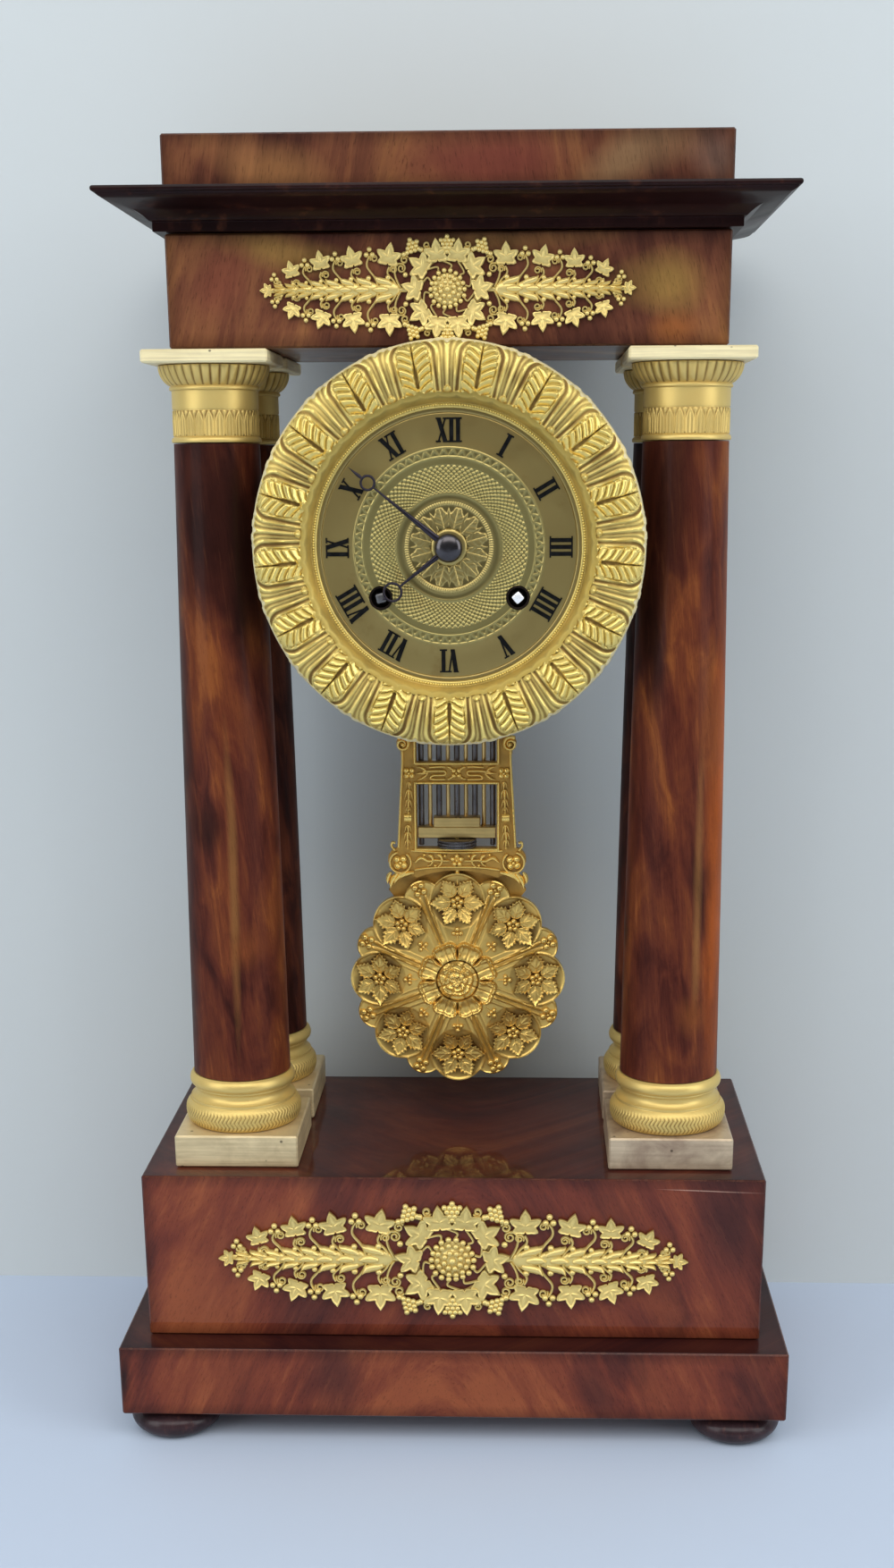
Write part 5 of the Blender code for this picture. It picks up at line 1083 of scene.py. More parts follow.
def dial_finish(name, tone, hollow, lacquer, centre):
    """Satin brass under lacquer: colour by the relief, greener inside the numerals, with brown clouds."""
    made, tree, shader = new_finish(name)
    relief = node(tree, "Attribute", {}, attribute_name="relief").outputs["Fac"]
    # Painted shade: the colour goes to the hollow colour where the relief is low.
    colour = mixed(tree, graded(tree, relief, (0.15, 0.0), (0.65, 1.0)), hollow, tone)
    cloud = clouds(tree, stretched(tree, (28, 28, 28), (0.3, 0, 0.1)), 4.0, 0.6)
    colour = mixed(tree, graded(tree, cloud, (0.35, 0.0), (0.7, 0.5)), colour, lacquer)
    own = node(tree, "TexCoord", {}).outputs["Object"]
    flat = node(tree, "Mapping", {"Vector": own, "Location": (-centre[0], 0, -centre[2]),
                                  "Scale": (1, 0, 1)}).outputs[0]
    away = sum_of(tree, "DIVIDE", vector_sum(tree, "LENGTH", flat), 60 * mm)
    turned_part = graded(tree, away, (0.26, 0.35), (0.34, 0.75), (0.60, 0.75), (0.64, 0.0))
    colour = mixed(tree, turned_part, colour, times(tree, colour, (0.86, 1.0, 1.04)))
    stain = clouds(tree, stretched(tree, (60, 60, 60), (1.3, 0, 0.7)), 5.0, 0.65)
    colour = mixed(tree, graded(tree, stain, (0.60, 0.0), (0.78, 0.45)), colour, (0.23, 0.12, 0.03))
    shine = sum_of(tree, "ADD", swing(tree, cloud, 0.25), 0.36)
    feed(tree, shader, {"Base Color": colour, "Roughness": shine, "Metallic": 1.0,
                        "Normal": dented(tree, clouds(tree, 900, 2.0), 0.25, 0.02)})
    return made


def on_axis(depth):
    """The point at a depth on the line through the middle of the dial."""
    return (dial_middle[0], depth, dial_middle[2])


satin_dial = dial_finish("engine_turned_dial_brass", (0.475, 0.340, 0.120), (0.105, 0.070, 0.023),
                         (0.325, 0.262, 0.100), dial_middle)
dial_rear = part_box("dial")[1][1]
radii = np.concatenate([np.linspace(a, b, n) for a, b, n in dial_rows])[:, None]
angle = all_round(dial_columns)
rise = dial_relief(radii, angle)
face = lifted(clockwise(angle, radii), (rise * mm + dial_face + dial_rear) / mm)
rear = lifted(clockwise(angle, np.array(dial_rear_radii)[:, None]), 0.0)
# The relief on the points is painted shade: darker in the cuts, lighter on the ridges.
shade = np.vstack((np.clip(0.60 + 1.6 * rise, 0, 1), np.full(rear.shape[:2], 0.6)))
plate = skin(facing_front(np.vstack((face, rear)), on_axis(dial_rear)), ring=True, relief=shade)
dial_plate = piece("engine_turned_dial", [plate], satin_dial, "case", ["dial"], 60)

# The two holes for the key are drilled through the plate over the winding squares.
winding_holes = ((-26.6, -19.0), (26.6, -19.0))
hole_radius, drill_reach = 4.2, 4.0
for across, up in winding_holes:
    drill = turned(((hole_radius, -drill_reach), (hole_radius, drill_reach)), 64)
    tool = piece("drill", [drill], satin_dial, "case")
    place = Vector(on_axis(dial_rear)) + Vector((across * mm, 0, up * mm))
    tool.data.transform(Matrix.Translation(place) @ Matrix.Rotation(turn / 4, 4, "X"))
    cut = dial_plate.modifiers.new("drilled", "BOOLEAN")
    cut.operation, cut.solver, cut.object = "DIFFERENCE", "EXACT", tool
    drilled = bpy.data.meshes.new_from_object(dial_plate.evaluated_get(bpy.context.evaluated_depsgraph_get()))
    dial_plate.modifiers.clear()
    dial_plate.data = drilled
    bpy.data.objects.remove(tool)


# ---------------------------------------------------------------- numerals
# Twelve Roman numerals engraved in the plate and filled with black wax, their feet towards the middle. Every
# numeral is made of strokes, each a thick or a thin bar, closed by long serifs above and below.

numeral_foot, numeral_tall = 38.7, 8.9
thick_bar, thin_bar, serif, upright_step = 1.55, 0.66, 0.58, 2.55
numeral_signs = ("XII", "I", "II", "III", "IIII", "V", "VI", "VII", "VIII", "IX", "X", "XI")
wide_letter, letter_gap = 4.0, 0.90
wax_bottom, wax_top, wax_layer = 1.38, 1.53, 0.004


def bar(x0, y0, x1, y1, width):
    """The four corners of a stroke between two heights, width wide along the line of writing."""
    return ((x0 - width / 2, y0), (x0 + width / 2, y0), (x1 + width / 2, y1), (x1 - width / 2, y1))


def numeral(sign):
    """All the strokes of one numeral, centred on its own middle: corners [strokes, 4, 2] in millimetres."""
    strokes, x, tall = [], 0.0, numeral_tall
    for k, letter in enumerate(sign):
        if k:
            x += upright_step - thick_bar if letter == sign[k - 1] == "I" else letter_gap
        if letter == "I":
            c = x + thick_bar / 2
            strokes.append(bar(c, 0, c, tall, thick_bar))
            strokes += [bar(c, y, c, y + serif, upright_step + 0.35) for y in (0, tall - serif)]
            x += thick_bar
        else:
            a, b = x + 0.75, x + wide_letter - 0.55
            feet = (b, a) if letter == "X" else ((a + b) / 2,) * 2
            heads = (a, b) if letter == "X" else (b, a)
            weights = (thick_bar * 1.1, thin_bar) if letter == "X" else (thin_bar, thick_bar * 1.1)
            strokes += [bar(foot, 0, head, tall, weight) for foot, head, weight in zip(feet, heads, weights)]
            strokes += [bar(e, tall - serif, e, tall, 2.0) for e in (a, b)]
            strokes += [bar(e, 0, e, serif, 2.0) for e in (a, b)] if letter == "X" else []
            x += wide_letter
    return np.array(strokes, float) - (x / 2, 0)


black_wax, tree, shader = new_finish("black_engraving_wax")
mottle = clouds(tree, 400, 3.0)
feed(tree, shader, {"Base Color": graded(tree, mottle, (0.3, 0.003), (0.75, 0.010)),
                    "Roughness": graded(tree, mottle, (0.3, 0.30), (0.7, 0.5)), "Specular IOR Level": 0.08})
numeral_solids = []
for hour, sign in enumerate(numeral_signs):
    strokes = spun(numeral(sign) + (0, numeral_foot), hour * turn / 12)
    layer = wax_layer * np.arange(len(strokes))[:, None]
    levels = np.stack((lifted(strokes, wax_bottom), lifted(strokes, wax_top + layer)), 1)
    numeral_solids.append(skin(facing_front(levels, on_axis(dial_rear))))
piece("black_numerals", numeral_solids, black_wax, "case", [], 20)


# ---------------------------------------------------------------- hands
# Two steel hands, filed thin, polished and blued nearly black: a long tapered blade, a hollow ring and a fine
# spear tip. The minute hand is held by a domed steel collet on the centre arbor.


def dark_steel(name, tone, rough, metal=0.9):
    """Blued or browned steel: a dark tone that shifts in soft clouds, with a few dull rust specks."""
    made, tree, shader = new_finish(name)
    cloud, speck = clouds(tree, 90, 4.0, 0.6), clouds(tree, 900, 2.0)
    colour = mixed(tree, graded(tree, cloud, (0.35, 0.0), (0.7, 0.75)), tone, tuple(1.9 * c for c in tone))
    colour = mixed(tree, graded(tree, speck, (0.62, 0.0), (0.72, 0.6)), colour, (0.07, 0.035, 0.02))
    shine = sum_of(tree, "ADD", sum_of(tree, "MULTIPLY", cloud, 0.3), rough - 0.1)
    feed(tree, shader, {"Base Color": colour, "Roughness": shine, "Metallic": metal,
                        "Normal": dented(tree, speck, 0.1, 0.02)})
    return made


blued_steel = dark_steel("blued_hand_steel", (0.030, 0.026, 0.034), 0.24)
# Every hand: CAD node, body, length, ring's middle and outer radius, blade's half widths at hub and ring.
hand_shapes = (("hour_hand", "hour", 32.5, 27.4, 3.9, 1.25, 0.42),
               ("minute_hand", "minute", 48.3, 38.9, 3.1, 1.45, 0.34))
hand_wall, hand_boss = 0.50, 4.9
for name, body, long, ring_at, ring_radius, wide, slim in hand_shapes:
    low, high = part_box(name)
    way = math.atan2((low[0] + high[0]) / 2 - dial_middle[0], (low[2] + high[2]) / 2 - dial_middle[2])
    t = np.linspace(0, 1, 24)
    shank = pairs(0.0, 3.0 + (ring_at - ring_radius - 2.6) * t)
    tip = pairs(0.0, ring_at + ring_radius - 0.4 + (long - ring_at - ring_radius + 0.4) * t)
    tip_half = np.interp(t, (0, 0.10, 0.28, 1), (0.35, 0.62, 0.66, 0.05))
    loop = clockwise(np.linspace(0, turn, 72), ring_radius - hand_wall) + (0, ring_at)
    boss = pairs(0.0, 5.0 * np.linspace(-1, 1, 24))
    boss_half = hand_boss * np.sqrt(np.clip(1 - np.linspace(-0.999, 0.999, 24) ** 2, 0.001, 1))
    parts = [pods([line], half, tall, 0.2) for line, half, tall in (
        (shank, wide + (slim - wide) * t ** 0.8, 0.55), (tip, tip_half, 0.5), (loop, hand_wall, 0.5),
        (boss, boss_half, 0.42))]
    parts = [(lifted(spun(grid, way), grid[..., 2]), shade) for grid, shade in parts]
    piece("blued_" + name, raised(parts, on_axis(high[1])), blued_steel, body, [name], 50)


# ---------------------------------------------------------------- movement
# A round brass movement of eight days behind the dial: two plates on pillars, barrels and wheels of brass,
# arbors, pallets and hammer of steel, and a cast bell of high tin bronze. A brass drum closes it.

plate_brass = bare_brass("scoured_plate_brass", (0.66, 0.47, 0.19), scratch=(600, 60, 60), rough=0.38,
                         amount=0.5)
wheel_brass = bare_brass("cut_wheel_brass", (0.72, 0.52, 0.22), scratch=(300, 300, 300), rough=0.30,
                         amount=0.35)
drum_brass = bare_brass("spun_drum_brass", (0.58, 0.42, 0.18), scratch=(60, 900, 60), rough=0.36, amount=0.6)
bell_bronze = bare_brass("turned_bell_metal", (0.56, 0.43, 0.24), scratch=(60, 900, 60), rough=0.30,
                         tarnish=(0.13, 0.09, 0.05), amount=0.5)
grey_steel = dark_steel("polished_arbor_steel", (0.30, 0.29, 0.29), 0.24)
browned_steel = dark_steel("browned_collet_steel", (0.062, 0.057, 0.060), 0.16)
hole_shade_steel = dark_steel("bush_steel_painted_shade", (0.012, 0.008, 0.006), 0.50)
repaint(plate_brass, "front_plate", "back_plate", "saddle_bracket", "suspension_cock")
repaint(wheel_brass, "going_barrel", "strike_barrel", "intermediate_wheel", "minute_wheel", "hour_wheel",
        "escape_wheel")
repaint(drum_brass, "movement_drum")
repaint(bell_bronze, "bell")
repaint(grey_steel, "pallets", "bell_hammer")
repaint(browned_steel, "centre_arbor")
# The winding arbors are given the same near-black steel: painted shade deep in the holes.
repaint(hole_shade_steel, "going_winding_arbor", "strike_winding_arbor")

# The collet that holds the minute hand: a browned steel dome over the front of the centre arbor.
angle = all_round(64)
collet_line = flowing(((5.35, 0.0), (5.45, 0.8), (5.3, 1.3), (4.85, 1.95), (4.1, 2.5), (3.1, 2.92),
                       (1.9, 3.18), (0.4, 3.28)), 6)
collet_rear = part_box("centre_arbor")[0][1] + 2.55 * mm
collet = skin(facing_front(revolved(collet_line, angle), on_axis(collet_rear)))
piece("domed_hand_collet", [collet], browned_steel, "minute", [], 50)

# Bushes line the two holes in the dial, near black as painted shade in the holes.
bush_line = ((3.75, 0.0), (3.75, 4.5), (4.0, 4.6), (4.45, 4.6), (4.6, 4.4), (4.6, 4.15), (4.15, 4.15),
             (4.15, 0.0))
bush_middle = on_axis(dial_rear + 2.9 * mm)
bushes = [skin(facing_front(revolved(bush_line, angle) + (*hole, 0), bush_middle), ring=True)
          for hole in winding_holes]
piece("winding_hole_bushes", bushes, hole_shade_steel, "case", [], 40)

# The ends of the two squares are polished by the key: a low square dome, its corners rounded off.
square_line = np.array(((1.75, -0.6), (1.85, -0.4), (1.85, 0.35), (1.70, 0.62), (1.35, 0.78), (0.8, 0.86),
                        (0.2, 0.88)))
square = (np.abs(np.cos(angle)) ** 7 + np.abs(np.sin(angle)) ** 7) ** (-1 / 7)
# The two squares are one steel: the left one is given a near-black tone as painted shade, the right one a
# near-white tone as a painted highlight.
for train, hole, spin, tone in (("strike", winding_holes[0], 0.25, (0.10, 0.098, 0.10)),
                                ("going", winding_holes[1], 0.72, (0.80, 0.80, 0.82))):
    square_steel_painted_light = dark_steel("polished_square_steel_" + train, tone, 0.30, 0.45)
    grid = lifted(circle(angle + spin, square_line[:, :1] * square) + hole, square_line[:, 1:])
    end = skin(facing_front(grid, on_axis(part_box(train + "_winding_arbor")[0][1])))
    piece(train + "_winding_square_end", [end], square_steel_painted_light, train + "_winding", [], 35)


# ---------------------------------------------------------------- pendulum frame
# A gilt casting hung on a spring: two windows with raised edges, a cross band with straps and flowers, leaves
# hanging down both stiles, scrolls above, and rosettes in volutes over the bob.

frame_gilt = gilding("frame_gilding", (1.0, 0.70, 0.185), (0.20, 0.090, 0.014), 0.42, 0.26, 0.25, 0.62)
# The plate and the crescent behind the bob take a darker copy of the gilding than the ornament: painted shade.
shaded_frame_plate_gilt = gilding("frame_plate_gilding_painted_shade", (0.56, 0.315, 0.060), (0.26, 0.13, 0.024), plain=0.42,
                           metal=0.55)
window_edge, waist_head, waist_foot = 18.15, (23.4, 280.0), (25.6, 242.6)
flower_height, star_height, bead_width, bead_height = 275.4, 236.9, 0.72, 0.95
scroll, rosette = (23.3, 288.0), (24.9, 236.0)
strap_path = ((14.6, 276.0), (11.0, 276.3), (7.0, 276.4), (5.1, 276.2), (4.7, 275.4), (5.2, 274.7),
              (7.0, 274.5), (9.2, 274.5), (10.6, 274.2), (11.4, 273.3), (10.4, 272.8), (7.5, 272.7),
              (4.9, 272.7))
crown_path = ((11.8, 277.9), (9.0, 278.1), (6.8, 278.2), (4.9, 278.1))
# Hanging leaves on the stiles: every row is the height of the leaf's head, its length and its half width.
stile_leaves = ((271.6, 3.6, 1.1), (268.2, 5.2, 1.5), (264.0, 4.6, 1.3), (260.6, 2.6, 1.0), (252.6, 4.0, 1.3),
                (249.6, 4.6, 1.5), (246.2, 3.8, 1.2))
star_outline = ((0, 1), (18, 0.55), (36, 0.42), (54, 0.55), (72, 1), (90, 0.55), (108, 0.42), (126, 0.55),
                (144, 1), (162, 0.55), (180, 0.42))
band_stems = (((18.6, 235.9), (15.8, 238.0), (12.5, 236.6), (9.2, 237.0), (6.0, 236.8), (3.4, 236.8)),
              ((12.6, 239.4), (11.0, 238.4), (10.6, 236.8), (11.4, 235.2), (12.8, 234.4)),
              ((8.6, 239.6), (7.0, 238.6), (6.6, 236.8), (7.2, 235.2), (8.4, 234.0)))
shoulder_leaves = (((19.0, 231.6), (24.8, 229.3), 1.3), ((22.6, 231.6), (27.6, 226.9), 1.5),
                   ((26.2, 231.2), (29.4, 224.6), 1.5), ((29.0, 231.6), (30.6, 226.6), 1.1))
# Thin borders of the bottom band and the hooks at its ends: a path, its half width and its height.
borders = ((((20.0, 241.2), (16.0, 240.9), (11.0, 240.6), (5.0, 240.4), (0.0, 240.4)), 0.5, 0.8),
           (((18.6, 232.6), (13.0, 233.4), (7.0, 233.8), (0.0, 233.9)), 0.5, 0.8),
           (((27.2, 241.4), (28.6, 243.2), (28.3, 244.8), (27.0, 244.6)), 0.6, 1.2))


def straight(ends, rows=8):
    """Straight paths [copies, rows, 2] between pairs of points."""
    ends = np.asarray(ends, float)
    t = np.linspace(0, 1, rows)[None, :, None]
    return ends[:, :1] * (1 - t) + ends[:, 1:] * t


def blossom(places, petals, reach, petal, start=0.0, lift=0.5, tall=0.7):
    """Small flowers: a ring of round petals [places * petals] and a berry in the middle of each."""
    outer = (np.asarray(places, float)[:, None] + circle(start + all_round(petals), reach)).reshape(-1, 2)
    yield beads(outer, petal, lift, 14, 8, tall)
    yield beads(places, 0.5 * petal, lift + 0.6 * petal, 10, 6, tall)


def swelling(line, places, shares):
    """Half widths along one path, given at places from 0 to 1."""
    return np.interp(np.linspace(0, 1, len(line)), places, shares)


def frame_ornament():
    """The raised ornament of the pendulum frame piece by piece, as (grid, relief) pairs in millimetres."""
    edge = window_edge
    yield pods(straight([((-edge, z), (edge, z)) for z in (241.7, 271.1, 279.5)]), bead_width, bead_height)
    yield pods(halves(straight([((edge, 241.3), (edge, 271.4)), ((edge, 279.3), (edge, 293.5))])), bead_width,
               bead_height)
    yield pods(halves(straight([((waist_head[0], 285.0), waist_head), (waist_head, waist_foot)])), 0.62, 0.85)
    # The cross band: flowers, curved stalks, straps and a spray of three leaves on either side.
    yield from blossom(halves([(20.6, flower_height)]), 4, 1.62, 1.30, turn / 8, 0.45)
    yield from blossom([(0.0, flower_height)], 4, 1.55, 1.05, turn / 8, 0.5)
    stalks = bends([(1.6, 276.9), (1.6, 273.9)], ([(2.6, 277.6), (2.6, 273.2)], [(3.0, 278.2), (3.0, 272.6)]),
                   [(3.9, 277.9), (3.9, 272.9)])
    yield pods(halves(stalks), 0.55, 0.9)
    yield pods(halves([flowing(strap_path, 5)]), 0.58, 1.05)
    yield pods(halves([flowing(crown_path, 5)]), 0.52, 0.95)
    twigs = bends([(12.4, flower_height)] * 3, ([(13.5, 277.0), (14.0, 275.4), (13.5, 273.8)],
                                                [(15.0, 278.0), (15.5, 275.4), (15.0, 272.8)]),
                  [(17.0, 278.2), (17.4, 275.4), (17.0, 272.6)])
    yield pods(halves(twigs), swelling(twigs[0], (0, 0.5, 1), (0.3, 0.75, 0.1)), 1.05)
    # Every leaf on the stiles has a spine and two lobes that spread downwards, and a berry at its tip.
    top, length, half = np.array(stile_leaves).T
    lean = 20.75 + (271 - top) * 0.033
    t = np.linspace(0, 1, 12)
    spine = pairs(lean[:, None] + 0.35 * np.sin(3 * top)[:, None] * t, top[:, None] - length[:, None] * t)
    spine_width = np.tile(widths(half * 0.62, (0, 0.15, 0.5, 1), (0.25, 0.8, 0.8, 0.06), 12), (2, 1))
    yield pods(halves(spine), spine_width, 1.15)
    for side in (-1, 1):
        start, first, second, end = (pairs(lean + side * out * half, top - down * length)
                                     for out, down in ((0, 0), (1.0, 0.1), (0.7, 0.55), (1.25, 0.78)))
        lobe_width = np.tile(widths(half, (0, 0.4, 1), (0.18, 0.34, 0.05), 12), (2, 1))
        yield pods(halves(bends(start, (first, second), end, 12)), lobe_width, 0.9)
    yield beads(halves(pairs(lean, top - length)), 0.55, 0.5)
    yield pods(halves(straight([((19.8, 255.6), (23.0, 255.6))], 6)), 2.0, 0.75, sides=8)
    # Scrolls at the head, each a thick spiral with a berry in its eye.
    yield pods(halves(curls([scroll], [3.1], [0.9], 1.6, 40)), np.linspace(1.0, 0.5, 40),
               np.linspace(1.3, 1.7, 40))
    yield beads(halves([scroll]), 0.9, 1.3)
    # The bottom band: rosettes in volutes, curling stems towards a star flower over the middle of the bob.
    yield pods(halves([circle(np.linspace(2.2, 7.6, 60), 4.6) + rosette]), 0.62, 1.25)
    yield from blossom(halves([rosette]), 4, 2.0, 1.65, turn / 8 + 0.1, 0.5)
    yield from blossom([(0.0, star_height)], 5, 1.9, 1.1, turn / 4, 0.6)
    yield vine_leaves([(0.0, star_height)], [7.0], [(0, 1)], 0.9, outline=star_outline,
                      veins=(0, 72, -72, 144, -144))
    for path in band_stems:
        line = flowing(path, 6)
        yield pods(halves([line]), swelling(line, (0, 0.15, 0.6, 1), (0.2, 1.0, 0.55, 0.35)), 1.1)
    yield beads(halves([(14.4, 239.4), (9.6, 234.6), (5.2, 238.9)]), 0.75, 0.5)
    # Leaves hang from the rosettes round the shoulders of the bob, clear of it by more than its travel.
    for start, end, half in shoulder_leaves:
        a, b = np.array(start), np.array(end)
        leaf = flowing((a, 0.6 * a + 0.4 * b + (0.5, 0.3), 0.25 * a + 0.75 * b + (0.4, 0.3), b), 6)
        yield pods(halves([leaf]), half * swelling(leaf, (0, 0.3, 0.7, 1), (0.5, 1.0, 0.8, 0.1)), 1.5)
    for path, half, tall in borders:
        yield pods(halves([flowing(path, 6)]), half, tall)


repaint(shaded_frame_plate_gilt, "pendulum_frame")
frame_front = (0.0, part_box("pendulum_frame")[0][1], 0.0)
ornament = raised([(grid * (1, 1, 1.5), shade) for grid, shade in frame_ornament()], frame_front)
piece("frame_ornament", ornament, frame_gilt, "pendulum", [], 50)

# A crescent of the casting reaches down behind the shoulders of the bob: a ring sector with pointed ends.
crescent_section = ((43.5, 18.0), (43.9, 17.4), (53.4, 17.4), (53.8, 17.9), (53.4, 18.5), (43.9, 18.5))
bob_centre_height, crescent_reach = 182.8, math.radians(37.5)
t = np.linspace(-1, 1, 60)[:, None]
way = t * crescent_reach
radius, depth = np.array(crescent_section).T
radius = radius - 3.6 * t ** 6 * (radius > 50)
crescent = lifted(pairs(radius * np.sin(way), depth), bob_centre_height + radius * np.cos(way)) * mm
piece("frame_crescent", [skin(crescent, relief=0.5)], shaded_frame_plate_gilt, "pendulum", [], 40)


# ---------------------------------------------------------------- gridiron
# Five steel rods and four brass rods, pinned in a top bar and in a stepped brass block, hang behind the
# windows. They are there mostly for show. Under the block a ribbed steel nut carries the bob.

grid_step, brass_rod, steel_rod, short_rod_foot = 3.93, 0.95, 1.32, 242.7
nut_line = ((1.3, 0.0), (8.0, 0.0), (8.5, 0.3), (8.5, 0.8), (8.1, 1.05), (8.1, 1.3), (8.6, 1.5), (8.6, 2.2),
            (8.1, 2.4), (8.1, 2.65), (8.5, 2.9), (8.5, 3.3), (8.0, 3.6), (1.3, 3.6))
nut_sides, nut_ribs = 96, 48
low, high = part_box("gridiron")
rod_depth = high[1] - steel_rod * mm - 0.25 * mm
rod_high = high[2] / mm


def upright_rods(offsets, radius, foot, head, depth):
    """Round rods side by side: circles of one radius stacked between two heights, with bevelled ends."""
    angle = all_round(20)
    height = np.array((foot, foot + 0.25, head - 0.25, head))[:, None]
    out = np.array((0.75, 1.0, 1.0, 0.75))[:, None] * radius
    return np.stack(np.broadcast_arrays((np.asarray(offsets)[:, None, None] + out * np.cos(angle)) * mm,
                                        depth + out * np.sin(angle) * mm, height * mm), -1)


def bevelled_block(corner, far, bevel=0.35):
    """A block whose long edges are taken off: an eight-cornered section swept from left to right."""
    (x0, y0, z0), (x1, y1, z1) = np.asarray(corner) / mm, np.asarray(far) / mm
    section = np.array(((y0, z0 + bevel), (y0, z1 - bevel), (y0 + bevel, z1), (y1 - bevel, z1),
                        (y1, z1 - bevel), (y1, z0 + bevel), (y1 - bevel, z0), (y0 + bevel, z0)))
    inner = section + (section.mean(0) - section) * 0.06
    x = np.array((x0, x0 + bevel, x1 - bevel, x1))
    rings = np.stack((inner, section, section, inner))
    return np.concatenate((np.broadcast_to(x[:, None, None], (4, 8, 1)), rings), -1) * mm


rod_steel = dark_steel("browned_rod_steel", (0.110, 0.100, 0.095), 0.30)
rod_brass = bare_brass("drawn_rod_brass", (0.74, 0.52, 0.20), scratch=(900, 900, 20), rough=0.30, amount=0.30)
block_brass = bare_brass("filed_block_brass", (0.72, 0.50, 0.18), scratch=(30, 900, 900), rough=0.36,
                         amount=0.30)
count = np.arange(-4, 5)
foot = low[2] / mm + 3.0
long_rods = upright_rods(count[::2] * grid_step, steel_rod, foot, rod_high, rod_depth)
short_rods = upright_rods(count[[0, -1]] * grid_step, steel_rod * 0.9, short_rod_foot, foot + 2, rod_depth)
piece("steel_compensation_rods", [skin(long_rods), skin(short_rods)], rod_steel, "pendulum",
      [], 40)
brass_rods = upright_rods(count[1::2] * grid_step, brass_rod, foot, rod_high, rod_depth)
piece("brass_compensation_rods", [skin(brass_rods)], rod_brass, "pendulum", [], 40)
# Every block: half its width, its front, its foot and its top.
blocks = ((17.1 * mm, low[1] + 0.2 * mm, low[2], low[2] + 5.0 * mm),
          (10.2 * mm, low[1] + 0.1 * mm, low[2] + 4.7 * mm, low[2] + 9.2 * mm),
          (17.1 * mm, rod_depth - 1.0 * mm, high[2] - 4.2 * mm, high[2]))
stepped = [skin(bevelled_block((-half, front, foot), (half, high[1], top)))
           for half, front, foot, top in blocks]
piece("stepped_gridiron_block", stepped, block_brass, "pendulum", ["gridiron"], 30)
ribs = 0.10 * np.cos(nut_ribs * all_round(nut_sides)) * (np.array(nut_line)[:, :1] > 8.2)
nut = turned(nut_line, nut_sides, middle("rating_nut"), ribs, ring=True)
piece("ribbed_rating_nut", [nut], rod_steel, "rating_nut", ["rating_nut"], 35)


# ---------------------------------------------------------------- bob
# A heavy gilt casting like a flower: eight round hollow lobes with raised rims over eight smaller ones, a
# rosette of curled petals round a rose, a spray of leaves in every lobe, and stems with flowers between them.

bob_columns, bob_lobes = 720, 8
lobe_pitch = turn / bob_lobes
lobe_at, lobe_radius, small_at, small_radius, rim_height = 35.6, 12.4, 39.4, 8.4, 3.4
flower_ring, flower_clear, stem_flower_ring = 35.2, 4.9, 43.9
bob_rows = ((0.35, 9.4, 22), (9.75, 19.5, 28), (20.0, 48.0, 56))
bob_wall = np.array(((1.0, 2.6), (1.0, 0.5), (0.985, 0.0), (0.5, 0.0)))
leaf_turns, leaf_spans = (32, 92, 150, 210, 268, 328), (14.0, 14.4, 12.6, 12.6, 14.4, 14.0)
toothed_leaf = ((0, 1.04), (7, 0.84), (12, 0.88), (20, 0.66), (28, 0.84), (36, 0.60), (48, 0.74), (58, 0.50),
                (74, 0.58), (86, 0.40), (104, 0.46), (120, 0.34), (180, 0.30))
bob_gilt = gilding("bob_gilding", (0.80, 0.54, 0.145), (0.12, 0.052, 0.010), 0.43, 0.26, 0.3, 0.74)
low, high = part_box("pendulum_bob")
bob_middle = ((low[0] + high[0]) / 2, high[1], low[2] + (high[0] - low[0]) / 2)


def nearest(angle, start=0.0):
    """The way from the nearest lobe's middle, where the first lobe stands at start."""
    return (angle - start + lobe_pitch / 2) % lobe_pitch - lobe_pitch / 2


def lobe_edge(angle, at, radius, start):
    """Distance of the outline along a ray: where the ray leaves the nearest of eight circles."""
    off = nearest(angle, start)
    return at * np.cos(off) + np.sqrt(np.clip(radius ** 2 - (at * np.sin(off)) ** 2, 0, None))


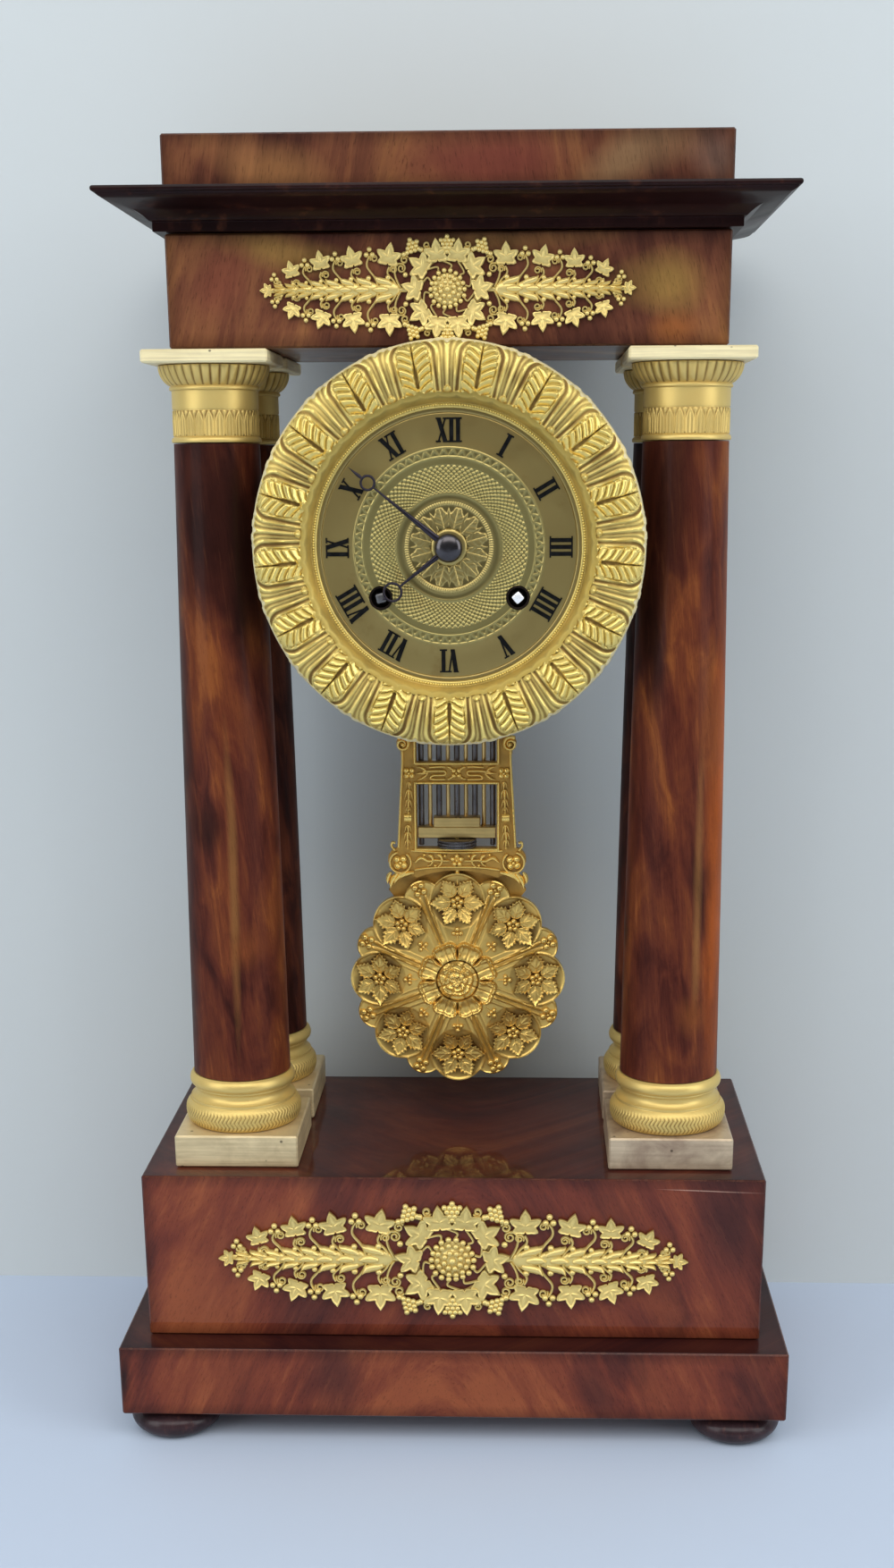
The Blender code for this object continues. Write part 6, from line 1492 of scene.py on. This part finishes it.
def bob_height(x, y):
    """Height of the bob's front over its rear face, in millimetres, at any point of its plan.

    A lobe is a shallow bowl round its own middle with a ridge along its edge. Between lobes run two ribs.
    The rosette's petals have a ridge along a waved outline and flutes inside; the rose is a ball with three
    rounds of petals.
    """
    r, angle = np.hypot(x, y), np.arctan2(x, y)
    off = nearest(angle)
    d = np.hypot(r * np.sin(off), r * np.cos(off) - lobe_at)
    between = np.abs(off) - lobe_pitch / 2
    side = r * np.abs(np.sin(between))
    small = np.hypot(r * np.sin(between), r * np.cos(between) - small_at)
    body = 3.6 + 3.4 * ramp_up(r, 46, 14) ** 1.2
    bowl = body - 0.2 - 0.9 * np.clip(1 - (d / lobe_radius) ** 2, 0, 1) * ramp_up(r, 21, 30)
    lobe = ramp_up(lobe_radius - d, -0.1, 0.35)
    outer = rim_height + 0.3 + 1.0 * ramp_up(r, 46, 34) - 0.5 * np.clip(1 - (small / small_radius) ** 2, 0, 1)
    ribs = 0.75 * hump(side - 0.85 - 0.012 * r, 0.42) * ramp_up(r, 18, 19) * ramp_up(r, 41.5, 40)
    trough = -0.45 * hump(side, 0.5) * ramp_up(r, 41, 36)
    ground = np.where(r > 30, np.minimum(outer + 0.6 * ramp_up(r, 40, 32), body), body)
    ground = ground + 0.25 * hump(side - 3.4, 0.5) * (r < 34)
    height = lobe * bowl + (1 - lobe) * ground
    height += 0.62 * hump(d - lobe_radius + 0.35, 0.42) * ramp_up(r, 26, 34)
    height += 0.45 * hump(small - small_radius + 0.4, 0.4) * (1 - lobe) * ramp_up(r, 40.5, 42)
    height += (ribs + trough) * (1 - 0.6 * lobe * ramp_up(r, 24, 30))
    # The rosette.
    fold = np.abs(((angle / lobe_pitch) % 1) - 0.5) * 2
    reach = 17.9 - 2.6 * fold ** 5 - 0.5 * hump(fold, 0.28)
    petal = ramp_up(reach - r, -0.15, 0.35)
    slit = r * np.sin((1 - fold) * lobe_pitch / 2)
    flutes = 0.12 * np.cos(fold * math.pi * 3.0) * ramp_up(r, 9.3, 12) * ramp_up(r, 16.8, 15.2)
    dish = 1.25 - 1.15 * hump(r - 13.4, 2.6) + flutes
    curl = 0.95 * hump(reach - 0.7 - r, 0.75)
    curl = curl + 0.75 * hump(slit - 0.95, 0.50) * (r < reach) * ramp_up(r, 10, 12)
    cut = -1.1 * hump(slit, 0.30) * ramp_up(r, 9.5, 11) * ramp_up(r, reach + 0.5, reach - 0.5)
    height = np.where(r < 19.5, height + petal * (dish + curl + cut), height)
    # The rose, a little off the middle, with five, four and three folded petals.
    folds = 1.35 * dome(r, 9.2) + 0.35 * hump(r - 8.5, 0.6) - 0.1
    x, y = x + 0.5, y - 0.4
    for at, count in ((6.2, 5), (3.9, 4), (1.6, 3)):
        off = np.hypot(x, y) - at - np.abs(np.cos(count * np.arctan2(x, y) / 2 + at))
        folds = folds + 0.60 * hump(off, 0.5) - 0.5 * ramp_up(off, 0.2, 1.0)
    return np.clip(np.where(r < 9.6, height + folds, height), 0.4, 9.55)


angle = all_round(bob_columns)
outline = np.maximum(lobe_edge(angle, lobe_at, lobe_radius, 0),
                     lobe_edge(angle, small_at, small_radius, lobe_pitch / 2))
reach = np.concatenate([np.linspace(*row) for row in bob_rows])[:, None]
radius = reach + (outline - reach[-1]) * ramp_up(reach, 30, reach[-1])
plan = clockwise(angle, radius)
height = bob_height(plan[..., 0], plan[..., 1])
walls = lifted(plan[-1] * bob_wall[:, :1, None], bob_wall[:, 1:])
# Painted shade: darker where the front lies below a smooth dome over the bob, lighter where it stands above.
shade = np.clip(0.52 + 0.56 * (height - 3.2 - 4.2 * ramp_up(radius, 48, 10)), 0.0, 1)
shade = np.vstack((shade, np.full(walls.shape[:2], 0.4)))
bob = skin(facing_front(np.concatenate((lifted(plan, height), walls)), bob_middle), relief=shade)
stem = upright_rods([0.0], 1.1, bob_middle[2] / mm + 40.0, high[2] / mm, 15.0 * mm)
piece("lobed_bob", [bob, skin(stem)], bob_gilt, "bob", ["pendulum_bob"], 60)


def bob_sprays():
    """Sprays of leaves round a flower in every lobe, buds on the rosette and flowers on the stems."""
    main = all_round(bob_lobes)
    way = np.repeat(main, len(leaf_turns))
    ways = clockwise(way + np.tile(np.radians(leaf_turns), bob_lobes))
    places, spans = clockwise(way, flower_ring) + flower_clear * ways, np.tile(leaf_spans, bob_lobes)
    grid, shade = vine_leaves(places, spans, ways, 1.35, 0.1, 60, toothed_leaf, (0, 180, 38, -38))
    drape = np.minimum(bob_height(grid[..., 0], grid[..., 1]), 6.5)
    grid[..., 2] += drape - 0.2 + 0.35 * (np.arange(len(grid)) % 2)[:, None, None]
    yield grid, shade
    yield from blossom(clockwise(main, flower_ring), 5, 1.85, 1.25, 0.2, 5.3, 0.9)
    out, cross = clockwise(main), 1.6 * pairs(np.cos(main), -np.sin(main))
    buds = np.concatenate((23.4 * out, 21.5 * out + cross, 21.5 * out - cross, 21.3 * out))
    yield beads(buds, np.repeat((1.2, 1.05, 1.05, 0.9), bob_lobes), 6.4, 12, 7)
    yield pods(np.stack([reach * out for reach in (18.0, 19.0, 20.0, 22.0)], 1), 0.45, 1.0, 5.9)
    half_way = main + lobe_pitch / 2
    out, cross = clockwise(half_way), pairs(np.cos(half_way), -np.sin(half_way))
    four = 1.55 * np.array(((1, 1), (1, -1), (-1, 1), (-1, -1)))
    flowers = clockwise(half_way, stem_flower_ring)
    petals = flowers[:, None] + four[:, :1] * out[:, None] + four[:, 1:] * cross[:, None]
    yield beads(petals.reshape(-1, 2), 1.6, 3.9, 14, 8, 0.75)
    yield beads(flowers, 0.7, 4.6)


piece("bob_leaf_sprays", raised(bob_sprays(), bob_middle), bob_gilt, "bob", [], 50)
